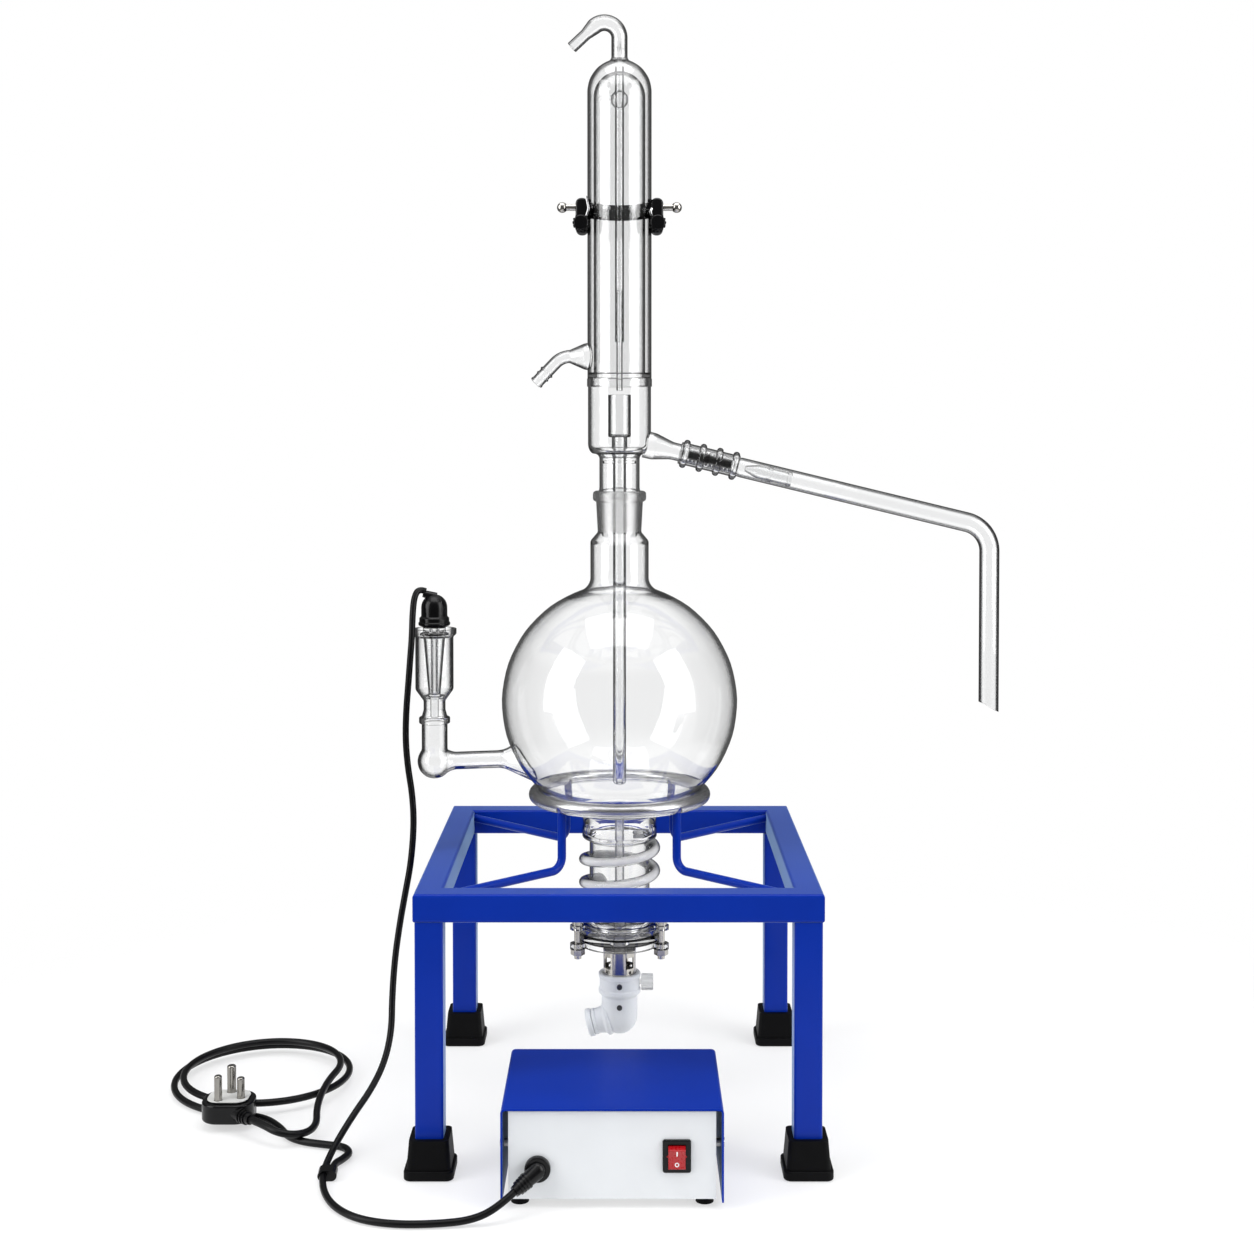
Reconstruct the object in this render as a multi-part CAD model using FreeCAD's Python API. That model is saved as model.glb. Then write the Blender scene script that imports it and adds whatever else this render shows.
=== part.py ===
"""Glass water distiller on a square stand, with its control box and leads. Millimetres, +Z up, front at -Y.

Everything is built round the glass column's axis, with the floor at zero. At the end the whole part is moved so that
the origin lies on the floor under the middle of the box that the part fills without its leads.
"""
import FreeCAD, Part
import math
import os

from FreeCAD import Vector

# Clearances and overrun
RUN_GAP = 0.05
SOFT_GAP = 0.3
OVER = 1.0
TINY = 0.0001

# Shares and counts
HALF_SHARE = 0.5
CORD_SHARE = 0.45
EIGHTHS = 8
GAP_STEPS = 72

# Stand
STAND_SIDE = 360.0
STAND_HEIGHT = 250.0
RAIL_SIDE = 25.0
RAIL_WALL = 2.0
RAIL_CORNER = 2.6
LEG_INSET = 1.3
FOOT_HEIGHT = 34.0
FOOT_FLOOR = 6.0
FOOT_FLANGE_SIDE = 44.0
FOOT_FLANGE_HEIGHT = 8.5
FOOT_FLANGE_CORNER = 7.0
FOOT_FLANGE_ROUND = 1.6
FOOT_LOW_SIDE = 39.5
FOOT_HIGH_SIDE = 35.0
FOOT_CORNER = 4.5
ROD_R = 4.0
ROD_BELOW_TOP = 8.0
ROD_BEND = 12.0
POST_ANGLE = 48.5

# Support ring
RING_R = 81.5
RING_CORE_R = 4.0
RING_CUSHION_R = 6.75
RING_Z = 301.3

# Boiling flask
BALL_R = 114.3
BALL_Z = RING_Z + math.sqrt((BALL_R + RING_CUSHION_R + SOFT_GAP) ** 2 - RING_R ** 2)
BALL_WALL = 2.5
NECK_R = 28.3
NECK_TOP = 547.5
NECK_FLARE = 13.0
JOINT_BIG_R = 20.0
JOINT_LENGTH = 38.0
JOINT_TAPER = 0.05
JOINT_TOP = 594.0
SOCKET_WALL = 3.0
SOCKET_BEAD_R = 25.8
SOCKET_BEAD_HEIGHT = 9.0
SOCKET_LIP = 2.0
LOWER_NECK_R = 29.2
LOWER_NECK_WALL = 2.4
FUNNEL_R = 34.0
FUNNEL_FLARE = 14.0
RIM_R = 36.3
RIM_TOP = 268.0
RIM_BOTTOM = 258.0
FLANGE_R = 40.0
FLANGE_THICK = 6.0
FLANGE_BOTTOM = 168.0
FLANGE_FILLET = 6.0
GLASS_ROUND = 1.6

# Level limb on the flask's left
LIMB_X = -180.0
LIMB_ARM_Z = 333.0
LIMB_ARM_R = 8.5
LIMB_ELBOW_R = 14.0
LIMB_ELBOW_LENGTH = 30.0
LIMB_ELBOW_BEND = 30.0
LIMB_ARM_WALL = 1.8
LIMB_ARM_LENGTH = 52.0
LIMB_FLARE_LENGTH = 44.0
LIMB_FLARE_TAIL = 14.0
LIMB_ARM_TILT = 2.0
LIMB_FLARE_R = 23.0
LIMB_FLARE_BEND = 22.0
LIMB_BULB_R = 16.6
LIMB_BULB_Z = 332.5
LIMB_R = 12.5
LIMB_WALL = 1.7
LIMB_BEAD_R = 15.0
LIMB_BEAD_Z = 373.0
LIMB_BEAD_HALF = 3.2
LIMB_NECK_R = 10.6
LIMB_NECK_LOW = 383.0
LIMB_NECK_HIGH = 392.0
CHAMBER_R = 18.5
CHAMBER_LOW = 403.0
CHAMBER_TOP = 462.0
CHAMBER_LIP_R = 21.5
CHAMBER_LIP_HEIGHT = 8.0

# Level probe
SHEATH_TOP_R = 10.6
SHEATH_LOW_R = 6.0
SHEATH_LOW_Z = 402.0
SHEATH_STEM_R = 4.0
SHEATH_TIP_Z = 376.0
SHEATH_BEAD_R = 10.2
SHEATH_BEAD_Z = 396.0
SHEATH_BEAD_HALF = 1.4
SHEATH_WALL = 1.2
ELECTRODE_R = 1.25
ELECTRODE_APART = 2.4
ELECTRODE_LOW = 398.0
DISC_R = 13.9
DISC_Z = 455.0
DISC_THICK = 3.0
STOPPER_R = 13.0
STOPPER_WAIST_R = 10.5
CAP_Z = 465.0
CAP_COLLAR_R = 15.5
CAP_COLLAR_HEIGHT = 9.0
CAP_DOME_R = 12.6
CAP_TOP = 495.5
CAP_WALL = 2.6
CAP_BOSS_R = 4.3
CAP_BOSS_LENGTH = 13.0
CAP_BOSS_TILT = 14.0
CAP_BOSS_BELOW = 2.6
CAP_BOSS_IN = 2.0

# Vapour head
HEAD_R = 30.5
HEAD_WALL = 2.2
HEAD_TOP = 705.0
HEAD_BASE = 632.0
HEAD_SHOULDER = 10.0
HEAD_LIP_R = 31.4
HEAD_LIP_HEIGHT = 8.0
HEAD_NECK_R = 19.5
HEAD_NECK_WALL = 2.6
HEAD_CONE_STEP = 3.0
HEAD_DRIP = 5.0
ARM_X = 24.5
ARM_Z = 641.2
ARM_SLOPE = 13.6
ARM_R = 8.5
ARM_WALL = 1.7
ARM_LENGTH = 60.5
ARM_FLARE_R = 13.0
ARM_FLARE_LENGTH = 27.0

# Feed cup and tube
CUP_R = 11.0
CUP_WALL = 1.5
CUP_TOP = 689.0
CUP_BOTTOM = 648.0
CUP_STUB_R = 7.5
CUP_STUB_BOTTOM = 632.0
FEED_R = 6.25
FEED_WALL = 1.5
FEED_TIP_Z = 310.0
FEED_TIP_BORE_R = 2.2
PRONG_R = 1.5
PRONG_Z = 624.0
PRONG_COUNT = 3

# Condenser
JACKET_R = 31.0
JACKET_WALL = 2.2
JACKET_DOME_Z = 980.6
JACKET_BASE = 3.5
SPIGOT_HEIGHT = 8.0
SPIGOT_WALL = 2.0
INNER_R = 25.0
INNER_WALL = 1.8
INNER_DOME_Z = 975.0
BASE_LEDGE = 2.4
HOOK_R = 7.8
HOOK_WALL = 1.9
HOOK_END_R = 5.7
HOOK_RISE_Z = 1032.2
HOOK_BEND = 14.6
HOOK_TURN = 133.0
HOOK_TAPER = 11.0
HOOK_PLAIN = 18.0
HOOK_FILLET = 5.0
INLET_Z = 726.0
INLET_BASE_R = 13.0
INLET_WAIST_X = -47.0
INLET_R = 6.2
INLET_WALL = 1.4
INLET_KNEE_X = -56.0
INLET_END_X = -81.0
INLET_END_Z = 700.0
INLET_BEND = 20.0
BARB_R = 7.7
BARB_HALF = 1.6
BARB_FROM_END = 15.0
CORE_R = 4.35
CORE_BORE_R = 3.05
CORE_TOP = 1005.0
CORE_BOTTOM = 740.0
TEE_R = 8.0
TEE_LOW = 965.0
TEE_HIGH = 981.0
DRIP_R = 3.0
DRIP_BORE_R = 1.9
DRIP_TOP = 790.0
DRIP_BOTTOM = 693.0
VENT_R = 1.75
VENT_X = -21.0
VENT_Z = 975.0
VENT_BEND = 5.0
VENT_BOTTOM = 720.0

# Coupling and delivery tube, measured along the sloping arm
SLEEVE_START = 35.0
SLEEVE_LENGTH = 58.0
SLEEVE_R = 10.8
SLEEVE_RING_R = 3.1
SLEEVE_RING_COUNT = 4
SLEEVE_RING_STEP = 16.4
SLEEVE_RING_FIRST = 5.0
BUSH_WALL = 2.6
BUSH_START = 42.0
BUSH_LENGTH = 46.0
DELIVERY_START = 64.0
DELIVERY_R = 9.6
DELIVERY_WALL = 1.6
DELIVERY_SHOULDER = 95.0
DELIVERY_DROP_X = 359.0
DELIVERY_BEND = 29.0
DELIVERY_END_Z = 386.0
DELIVERY_CUT_RISE = 5.0
TIP_START = 100.0
TIP_MOUTH = 118.0
TIP_END = 146.0
TIP_START_R = 2.6
TIP_R = 7.0
TIP_WALL = 1.0
TIP_RING_HALF = 2.2

# Heater spiral round the lower neck
SPIRAL_TUBE_R = 4.8
SPIRAL_PITCH = 22.6
SPIRAL_LOW_Z = 213.0
SPIRAL_START = -225.0
SPIRAL_NECK_GAP = 0.8
SPIRAL_EIGHTHS = 14
SPIRAL_END_BEND = 10.0

# Bottom closure
GASKET_THICK = 2.0
GASKET_BORE_R = 26.0
PLATE_THICK = 5.5
CLAMP_THICK = 5.5
CLAMP_BORE_R = 33.0
CLAMP_R = 39.5
STUD_CIRCLE_R = 45.5
STUD_ANGLES = (-152.0, -28.0, 58.0, 122.0)
STUD_R = 3.5
STUD_TOP = 182.0
STUD_BOTTOM = 145.5
LUG_R = 7.5
BACKING_THICK = 4.0
BACKING_BORE_R = 36.5
NUT_FLATS = 12.0
NUT_HEIGHT = 5.5
STUD_HEAD_R = 5.5
STUD_HEAD_HEIGHT = 4.0
DRAIN_R = 6.3
DRAIN_WALL = 1.6
DRAIN_BOTTOM = 114.0
DRAIN_STEP_Z = 182.0
DRAIN_UPPER_R = 4.5
DRAIN_TOP = 283.0
ADAPTER_R = 16.0
ADAPTER_WALL = 1.5
ADAPTER_TOP = 150.0
ADAPTER_BOTTOM = 121.0
ADAPTER_LID = 2.0
WINDOW_COUNT = 4
WINDOW_WIDTH = 9.5
WINDOW_HEIGHT = 11.0
WINDOW_LOW = 132.0
WINDOW_TURN = 40.0
PORT_R = 1.6
PORT_Z = 128.6
FITTING_R = 3.6
FITTING_HEIGHT = 4.5
FITTING_OUT = 10.8

# Drain valve
COLLAR_R = 20.5
COLLAR_TOP = 126.0
COLLAR_BOTTOM = 106.0
COLLAR_ROUND = 2.2
VALVE_R = 17.5
VALVE_BALL_Z = 83.0
VALVE_BALL_R = 17.2
VALVE_BORE_R = 6.6
SPOUT_DROP = 14.0
SPOUT_LENGTH = 27.0
SPOUT_ROOT_R = 15.5
SPOUT_R = 12.2
SPOUT_BORE_R = 8.0
DRAIN_CAP_R = 12.8
DRAIN_CAP_THICK = 5.5
DRAIN_CAP_ROUND = 2.0
DRAIN_CAP_PLUG = 7.0
KNOB_Z = 116.0
KNOB_R = 8.0
KNOB_START = 21.2
KNOB_LENGTH = 11.5
KNOB_FLUTES = 12
KNOB_FLUTE_R = 1.3
KNOB_ROUND = 1.2
SPINDLE_R = 2.5
SPINDLE_DEPTH = 9.0
VALVE_SCREW_R = 2.6
VALVE_SCREW_STAND = 1.0
VALVE_SCREW_DEPTH = 4.0
VALVE_SCREW_SHANK_R = 1.4
VALVE_SCREW_ZS = (117.0, 96.0)

# Clamp round the condenser
BAND_Z = 868.0
BAND_HEIGHT = 15.0
BAND_THICK = 3.0
BAND_FREE_ANGLE = 120.0
JAW_X = 30.0
JAW_WIDTH = 12.0
JAW_FRONT = -17.0
JAW_DEPTH = 22.0
JAW_TOP = 877.0
JAW_BOTTOM = 843.0
JAW_ROUND = 5.5
JAW_EDGE = 2.0
HANDLE_Z = 869.0
HANDLE_Y = -5.0
HANDLE_R = 3.2
HANDLE_SHANK_R = 2.4
HANDLE_DEPTH = 7.0
BALL_END_R = 5.1
BALL_END_X = 55.0
GRIP_X = 36.5
GRIP_Z = 852.0
GRIP_R = 7.2
GRIP_LENGTH = 15.0
GRIP_RIBS = 14
GRIP_RIB_R = 0.9
GRIP_ROUND = 1.5
GRIP_SHANK_R = 2.5
GRIP_SHANK_DEPTH = 8.0

# Control box
BOX_X = -5.2
BOX_FRONT = -242.0
BOX_DEPTH = 142.0
BOX_WIDTH = 188.0
BOX_TOP = 85.5
BOX_SKIRT_Z = 6.0
BOX_SHEET = 1.6
BOX_BEND = 4.0
BOX_FOOT_R = 7.75
BOX_FOOT_TOP_R = 6.9
BOX_FLOOR_Z = 8.0
BOX_FOOT_IN_X = 15.5
BOX_FOOT_IN_Y = 18.0
PANEL_WIDTH = 175.0
PANEL_THICK = 2.0
PANEL_RECESS = 3.0
CHASSIS_WIDTH = 173.0
CHASSIS_SIDE = 52.0
PANEL_TOP = 82.4
BOX_SCREW_R = 4.2
BOX_SCREW_STAND = 2.0
BOX_SCREW_SHANK_R = 1.6
BOX_SCREW_Z = 47.0
BOX_SCREW_IN_Y = 26.0
SPACER_R = 3.4
CHASSIS_BACK_IN = 3.0
SWITCH_X = 49.2
SWITCH_Z = 44.8
BEZEL_WIDTH = 24.0
BEZEL_HEIGHT = 28.0
BEZEL_STAND = 2.4
BEZEL_ROUND = 1.0
SWITCH_BODY_SIDE = 1.6
SWITCH_BODY_DEPTH = 20.0
SWITCH_POCKET_DEPTH = 10.5
ROCKER_WIDTH = 14.5
ROCKER_HEIGHT = 18.0
ROCKER_SIDE_GAP = 0.35
ROCKER_END_GAP = 1.2
ROCKER_STAND = 5.0
ROCKER_VALLEY = 3.4
ROCKER_BACK = 3.0
ROCKER_PIVOT_IN = 1.0
ROCKER_ROUND = 0.8
ROCKER_TILT = 10.0
ROCKER_PIN_R = 1.2
ROCKER_PIN_REACH = 1.2
GLAND_X = -68.0
GLAND_Z = 34.0
GLAND_R = 11.0
GLAND_STAND = 4.5
GLAND_ROUND = 1.5
GLAND_SHANK_R = 7.0
GLAND_NUT_FLATS = 20.0
GLAND_NUT_THICK = 4.0
GLAND_BOOT_R = 7.4
GLAND_BOOT_END_R = 4.7
GLAND_BOOT_LENGTH = 26.0
GLAND_BOOT_SHARES = (-0.70, -0.55, -0.45)
GLAND_RIB_COUNT = 4
GLAND_RIB_HALF = 1.4
GLAND_RIB_STAND = 0.9
BOARD_WIDTH = 110.0
BOARD_DEPTH = 78.0
BOARD_THICK = 1.6
BOARD_STANDOFF = 8.0
STANDOFF_R = 3.0
BOARD_INSET = 6.0
RELAY_SIZES = ((-34.0, 14.0, 28.0, 22.0, 18.0), (2.0, 16.0, 19.0, 15.0, 15.0), (34.0, 12.0, 24.0, 30.0, 24.0))
CHIP_SIZE = (26.0, 9.0, 4.0)
TERMINAL_WIDTH = 48.0
TERMINAL_DEPTH = 14.0
TERMINAL_HEIGHT = 16.0
TERMINAL_WAYS = 6
TERMINAL_WAY_R = 2.4
TERMINAL_WAY_DEPTH = 5.0

# Leads. The routes are measured from the column's axis on the floor.
LEAD_R = 3.1
MAINS_R = 3.4
PROBE_ROUTE = (
    (-121.0, -271.5, 4.6),
    (-150.0, -275.0, 3.2),
    (-184.0, -276.0, 3.2),
    (-214.0, -267.0, 3.2),
    (-236.0, -247.5, 3.2),
    (-250.0, -222.0, 3.2),
    (-257.5, -195.0, 4.7),
    (-259.5, -167.0, 5.2),
    (-254.0, -140.0, 15.0),
    (-242.0, -115.0, 31.0),
    (-229.0, -95.0, 46.0),
    (-219.0, -78.0, 65.0),
    (-214.6, -62.0, 89.0),
    (-215.6, -50.0, 116.0),
    (-214.4, -40.0, 149.0),
    (-210.4, -33.0, 182.0),
    (-205.4, -29.0, 211.0),
    (-200.2, -25.0, 240.0),
    (-197.6, -22.0, 277.0),
    (-199.6, -20.3, 306.0),
    (-203.7, -19.6, 330.0),
    (-206.0, -19.0, 357.0),
    (-205.6, -18.6, 385.0),
    (-202.2, -18.4, 410.0),
    (-199.8, -18.0, 436.0),
    (-202.0, -14.4, 456.0),
    (-204.8, -7.5, 476.0),
    (-204.6, -1.0, 492.5),
)
LEAD_FIRST_RUN = 20.0
PROBE_LAST_RUN = 8.0
SPLITTER_HALF = 6.5
SPLITTER_WALL = 1.2
SPLITTER_AT = (-258.5, -181.0, 4.95)
SPLITTER_SHARES = (-0.07, 1.0, 0.02)
SPLITTER_BORE_GAP = 0.35
MAINS_FROM_LEAD = 7.4
MAINS_FIRST_RUN = 11.0
MAINS_ROUTE = (
    (-247.0, -151.0, 4.2),
    (-242.0, -135.5, 3.7),
    (-250.0, -122.0, 3.7),
    (-267.5, -117.5, 3.7),
    (-289.0, -111.5, 3.7),
    (-305.0, -100.0, 3.7),
    (-317.0, -78.0, 3.7),
    (-334.0, -57.5, 3.7),
)
COIL_LEAD_RUN = 10.5
COIL_X = -356.0
COIL_Y = 43.5
COIL_Z = 3.75
COIL_LOOP_R = 90.0
COIL_DRIFT = 9.0
COIL_CLIMB = 7.2
COIL_START = -100.0
COIL_EIGHTHS = 14
COIL_END_RUN = 20.0
PLUG_ROUTE = (
    (-287.0, -34.0, 16.6),
    (-286.0, -60.0, 13.0),
    (-281.5, -84.0, 10.0),
    (-285.0, -102.5, 9.4),
    (-297.0, -114.0, 11.0),
    (-313.0, -115.0, 14.0),
)
PLUG_LAST_RUN = 19.0
PLUG_X = -368.0
PLUG_Y = -62.0
PLUG_BASE = 7.4
PLUG_WIDTH = 49.0
PLUG_DEPTH = 42.0
PLUG_CORNER = 17.0
PLUG_HEIGHT = 18.0
PLUG_ROUND = 2.0
FACE_INSET = 5.0
FACE_CORNER = 11.0
FACE_THICK = 1.2
EARTH_AT = (0.0, 11.0)
NEUTRAL_AT = (-8.0, -10.0)
LINE_AT = (12.0, -4.0)
EARTH_R = 4.2
EARTH_LENGTH = 26.0
PIN_R = 3.6
NEUTRAL_LENGTH = 24.0
LINE_LENGTH = 20.0
PIN_SUNK = 8.0
PIN_ROUND = 1.8
BOOT_Z = 16.8
BOOT_ROOT_R = 6.8
BOOT_END_R = 4.9
BOOT_ROOT_X = -364.0
BOOT_ROOT_Y = -73.0
BOOT_LENGTH = 30.0
BOOT_ANGLE = -40.5
BOOT_RIB_FIRST = 16.0
BOOT_RIB_COUNT = 3
BOOT_RIB_STAND = 1.0
BOOT_RIB_HALF = 1.5

CORD_NODES = ("probe_lead", "lead_splitter", "mains_lead", "mains_coil", "mains_lead_end",
              "plug_body", "plug_pins", "plug_boot")
UP = Vector(0, 0, 1)


def unit(vector):
    """The vector's direction."""
    return Vector(vector).normalize()


def polar(angle, radius, z=0.0):
    """The point at an angle in degrees and a radius from the Z axis."""
    return Vector(radius * math.cos(math.radians(angle)), radius * math.sin(math.radians(angle)), z)


def arc_middle(back, here, ahead, reach):
    """The middle of the arc that rounds a corner, starting and ending one reach from it."""
    half = (math.pi - back.getAngle(ahead)) / 2
    return here + unit(back + ahead) * (reach / math.tan(half) * (1 / math.cos(half) - 1))


def rounded(corners, closed=True):
    """Corners (u, v, radius) as outline nodes (u, v, middle of the arc that leads there or None)."""
    nodes = []
    count = len(corners)
    for i, (u, v, radius) in enumerate(corners):
        at_end = not closed and i in (0, count - 1)
        if radius == 0 or at_end:
            nodes.append((u, v, None))
            continue
        here = Vector(u, v, 0)
        back = unit(Vector(*corners[i - 1][:2], 0) - here)
        ahead = unit(Vector(*corners[(i + 1) % count][:2], 0) - here)
        reach = radius * math.tan((math.pi - back.getAngle(ahead)) / 2)
        middle = arc_middle(back, here, ahead, reach)
        start, end = here + back * reach, here + ahead * reach
        nodes.append((start.x, start.y, None))
        nodes.append((end.x, end.y, (middle.x, middle.y)))
    return nodes


def outline(nodes, upright=True):
    """A closed wire through outline nodes, in the XZ plane or, where it isn't upright, in the XY plane."""
    def place(u, v):
        return Vector(u, 0, v) if upright else Vector(u, v, 0)

    edges = []
    for i, (u, v, middle) in enumerate(nodes):
        start, end = place(*nodes[i - 1][:2]), place(u, v)
        if start.isEqual(end, TINY):
            continue
        edge = Part.LineSegment(start, end) if middle is None else Part.Arc(start, place(*middle), end)
        edges.append(edge.toShape())
    return Part.Wire(edges)


def turned(nodes, x=0.0, y=0.0):
    """The solid that an outline sweeps round the Z axis, stood at x, y."""
    solid = Part.Face(outline(nodes)).revolve(Vector(), UP, 360)
    solid.translate(Vector(x, y, 0))
    return solid


def slab(nodes, low, high):
    """An outline in the XY plane as a slab between two heights."""
    solid = Part.Face(outline(nodes, upright=False)).extrude(Vector(0, 0, high - low))
    solid.translate(Vector(0, 0, low))
    return solid


def rectangle(width, depth, corner):
    """Outline nodes of a rectangle round the origin, with rounded corners."""
    across, along = width / 2, depth / 2
    return rounded([(-across, -along, corner), (across, -along, corner), (across, along, corner),
                    (-across, along, corner)])


def placed(shape, origin, direction=UP):
    """A copy with its own Z axis turned to a direction and its own origin moved to a point."""
    copy = shape.copy()
    copy.Placement = FreeCAD.Placement(Vector(origin), FreeCAD.Rotation(UP, Vector(direction))).multiply(
        copy.Placement)
    return copy


def turned_about(shape, angle, axis=UP, centre=Vector()):
    """A copy turned by an angle about an axis."""
    copy = shape.copy()
    copy.rotate(centre, axis, angle)
    return copy


def rod(radius, start, end):
    """A round rod from one point to another."""
    return Part.makeCylinder(radius, (end - start).Length, start, end - start)


def bent_wire(points, reaches):
    """Straight runs through points, with a tangent arc that starts and ends one reach from each inner point."""
    edges = []
    last = points[0]
    for before, here, after, reach in zip(points, points[1:], points[2:], reaches):
        back, ahead = unit(before - here), unit(after - here)
        start, end = here + back * reach, here + ahead * reach
        if not last.isEqual(start, TINY):
            edges.append(Part.LineSegment(last, start).toShape())
        edges.append(Part.Arc(start, arc_middle(back, here, ahead, reach), end).toShape())
        last = end
    if not last.isEqual(points[-1], TINY):
        edges.append(Part.LineSegment(last, points[-1]).toShape())
    return Part.Wire(edges)


def half_turns(points):
    """Half of the turn at each inner point of a route, in radians."""
    return [(math.pi - (a - b).getAngle(c - b)) / 2 for a, b, c in zip(points, points[1:], points[2:])]


def swept(wire, points, radius):
    """A round rod along a wire that starts on the first two points."""
    circle = Part.Wire(Part.Circle(points[0], points[1] - points[0], radius).toShape())
    return wire.makePipeShell([circle], True, False)


def bent_rod(points, radius, bend):
    """A round rod through points, with bends of one radius."""
    reaches = [bend * math.tan(half) for half in half_turns(points)]
    return swept(bent_wire(points, reaches), points, radius)


def stretched(points, extra):
    """Points of a route with its two ends moved out."""
    first = points[0] + unit(points[0] - points[1]) * extra
    last = points[-1] + unit(points[-1] - points[-2]) * extra
    return [first, *points[1:-1], last]


def bent_tube(points, radius, wall, bend):
    """The solid and the bore of a bent tube."""
    return bent_rod(points, radius, bend), bent_rod(stretched(points, OVER), radius - wall, bend)


def cord(name, points, radius):
    """A cord along a route, with each arc as large as its two runs allow."""
    runs = [(b - a).Length for a, b in zip(points, points[1:])]
    halves = half_turns(points)
    reaches = [CORD_SHARE * min(pair) for pair in zip(runs, runs[1:])]
    radii = [reach / math.tan(half) for reach, half in zip(reaches, halves)]
    wire = bent_wire(points, reaches)
    solid = swept(wire, points, radius)
    expected = wire.Length * math.pi * radius ** 2
    print(name, "length", round(wire.Length, 1), "volume to section times length",
          round(solid.Volume / expected, 4), "lowest", round(solid.optimalBoundingBox().ZMin, 2))
    print(name, "arc radii", [round(r, 1) for r in radii])
    return solid


def helix_corners(radius, low, climb, drift, start, eighths, way):
    """The corners of a polygon that lies round a coil's turns, and how far its arcs reach from each."""
    eighth = 360 / EIGHTHS
    lean = math.radians(eighth / 2)
    corners = []
    for i in range(eighths):
        turns = (i + HALF_SHARE) / EIGHTHS
        corners.append(polar(start + way * 360 * turns, (radius - drift * turns) / math.cos(lean),
                             low + climb * turns))
    return corners


def coil_rod(points, radius, first, last):
    """A coil's rod through its corners, with a first and a last reach."""
    sides = [(b - a).Length for a, b in zip(points, points[1:])]
    reaches = [min(pair) / 2 for pair in zip(sides[1:-1], sides[2:-1])]
    return swept(bent_wire(points, [first, *reaches, last]), points, radius)


def least_coil_gap(radius, low, climb, drift, tube, turns):
    """The least gap between one turn of a coil and the next, measured on points of its centre line."""
    def at(turn):
        return polar(360 * turn, radius - drift * turn, low + climb * turn)

    spots = [at(i / GAP_STEPS) for i in range(int(turns * GAP_STEPS) + 1)]
    apart = [(a - b).Length for i, a in enumerate(spots) for b in spots[i + GAP_STEPS // 2:]]
    return min(apart) - 2 * tube


def hexagon(flats, low, high):
    """A hexagonal slab round the Z axis."""
    corner = flats / math.sqrt(3)
    points = [polar(60 * i, corner) for i in range(6)]
    return slab([(p.x, p.y, None) for p in points], low, high)


def ball_blend(ball, neck, fillet, way):
    """Where a fillet between a ball and a neck meets the ball, its middle, and where it meets the neck."""
    rise = math.sqrt((ball + fillet) ** 2 - (neck + fillet) ** 2)
    centre = Vector(neck + fillet, rise, 0)
    on_ball = centre * (ball / (ball + fillet))
    on_neck = Vector(neck, rise, 0)
    middle = centre + unit(unit(on_ball - centre) + unit(on_neck - centre)) * fillet
    return [(p.x, BALL_Z + way * p.y) for p in (on_ball, middle, on_neck)]


def stand():
    """Four mitred rails, four legs and the rubber caps on their feet."""
    half = STAND_SIDE / 2
    rail_z = STAND_HEIGHT - RAIL_SIDE / 2
    tube = square_tube(STAND_SIDE)
    tube.translate(Vector(-half, RAIL_SIDE / 2 - half, rail_z))
    mitre = slab([(0, 0, None), (-half - OVER, -half - OVER, None), (half + OVER, -half - OVER, None)],
                 STAND_HEIGHT - RAIL_SIDE - OVER, STAND_HEIGHT + OVER)
    rail = tube.common(mitre)
    leg = turned_about(square_tube(STAND_HEIGHT - RAIL_SIDE - FOOT_FLOOR), -90, Vector(0, 1, 0))
    pieces = {}
    feet = []
    places = half - LEG_INSET - RAIL_SIDE / 2
    for i, (side, corner) in enumerate((("front", "front_left"), ("right", "front_right"),
                                        ("back", "back_right"), ("left", "back_left"))):
        pieces[side + "_rail"] = turned_about(rail, 90 * i)
        spot = turned_about(placed(leg, (-places, -places, FOOT_FLOOR)), 90 * i)
        pieces[corner + "_leg"] = spot
        feet.append(turned_about(placed(foot(), (-places, -places, 0)), 90 * i))
    pieces["rubber_feet"] = Part.makeCompound(feet)
    return pieces


def square_tube(length):
    """The stand's square tube along +X from the origin."""
    section = turned_about(slab(rectangle(RAIL_SIDE, RAIL_SIDE, RAIL_CORNER), 0, length), 90, Vector(0, 1, 0))
    hollow = RAIL_SIDE - 2 * RAIL_WALL
    bore = turned_about(slab(rectangle(hollow, hollow, RAIL_CORNER / 2), -OVER, length + OVER), 90,
                        Vector(0, 1, 0))
    return section.cut(bore)


def foot():
    """A tapered rubber cap with a thick lower flange and a pocket for the leg."""
    flange = slab(rectangle(FOOT_FLANGE_SIDE, FOOT_FLANGE_SIDE, FOOT_FLANGE_CORNER), 0, FOOT_FLANGE_HEIGHT)
    rims = [e for e in flange.Edges if e.BoundBox.ZLength < TINY]
    flange = flange.makeFillet(FOOT_FLANGE_ROUND, rims)
    low = outline(rectangle(FOOT_LOW_SIDE, FOOT_LOW_SIDE, FOOT_CORNER), upright=False)
    high = outline(rectangle(FOOT_HIGH_SIDE, FOOT_HIGH_SIDE, FOOT_CORNER), upright=False)
    low.translate(Vector(0, 0, FOOT_FLANGE_HEIGHT - FOOT_FLANGE_ROUND))
    high.translate(Vector(0, 0, FOOT_HEIGHT))
    taper = Part.makeLoft([low, high], True, True)
    pocket_side = RAIL_SIDE + 2 * RUN_GAP
    pocket = slab(rectangle(pocket_side, pocket_side, RAIL_CORNER), FOOT_FLOOR, FOOT_HEIGHT + OVER)
    return flange.fuse(taper).cut(pocket).removeSplitter()


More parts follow.
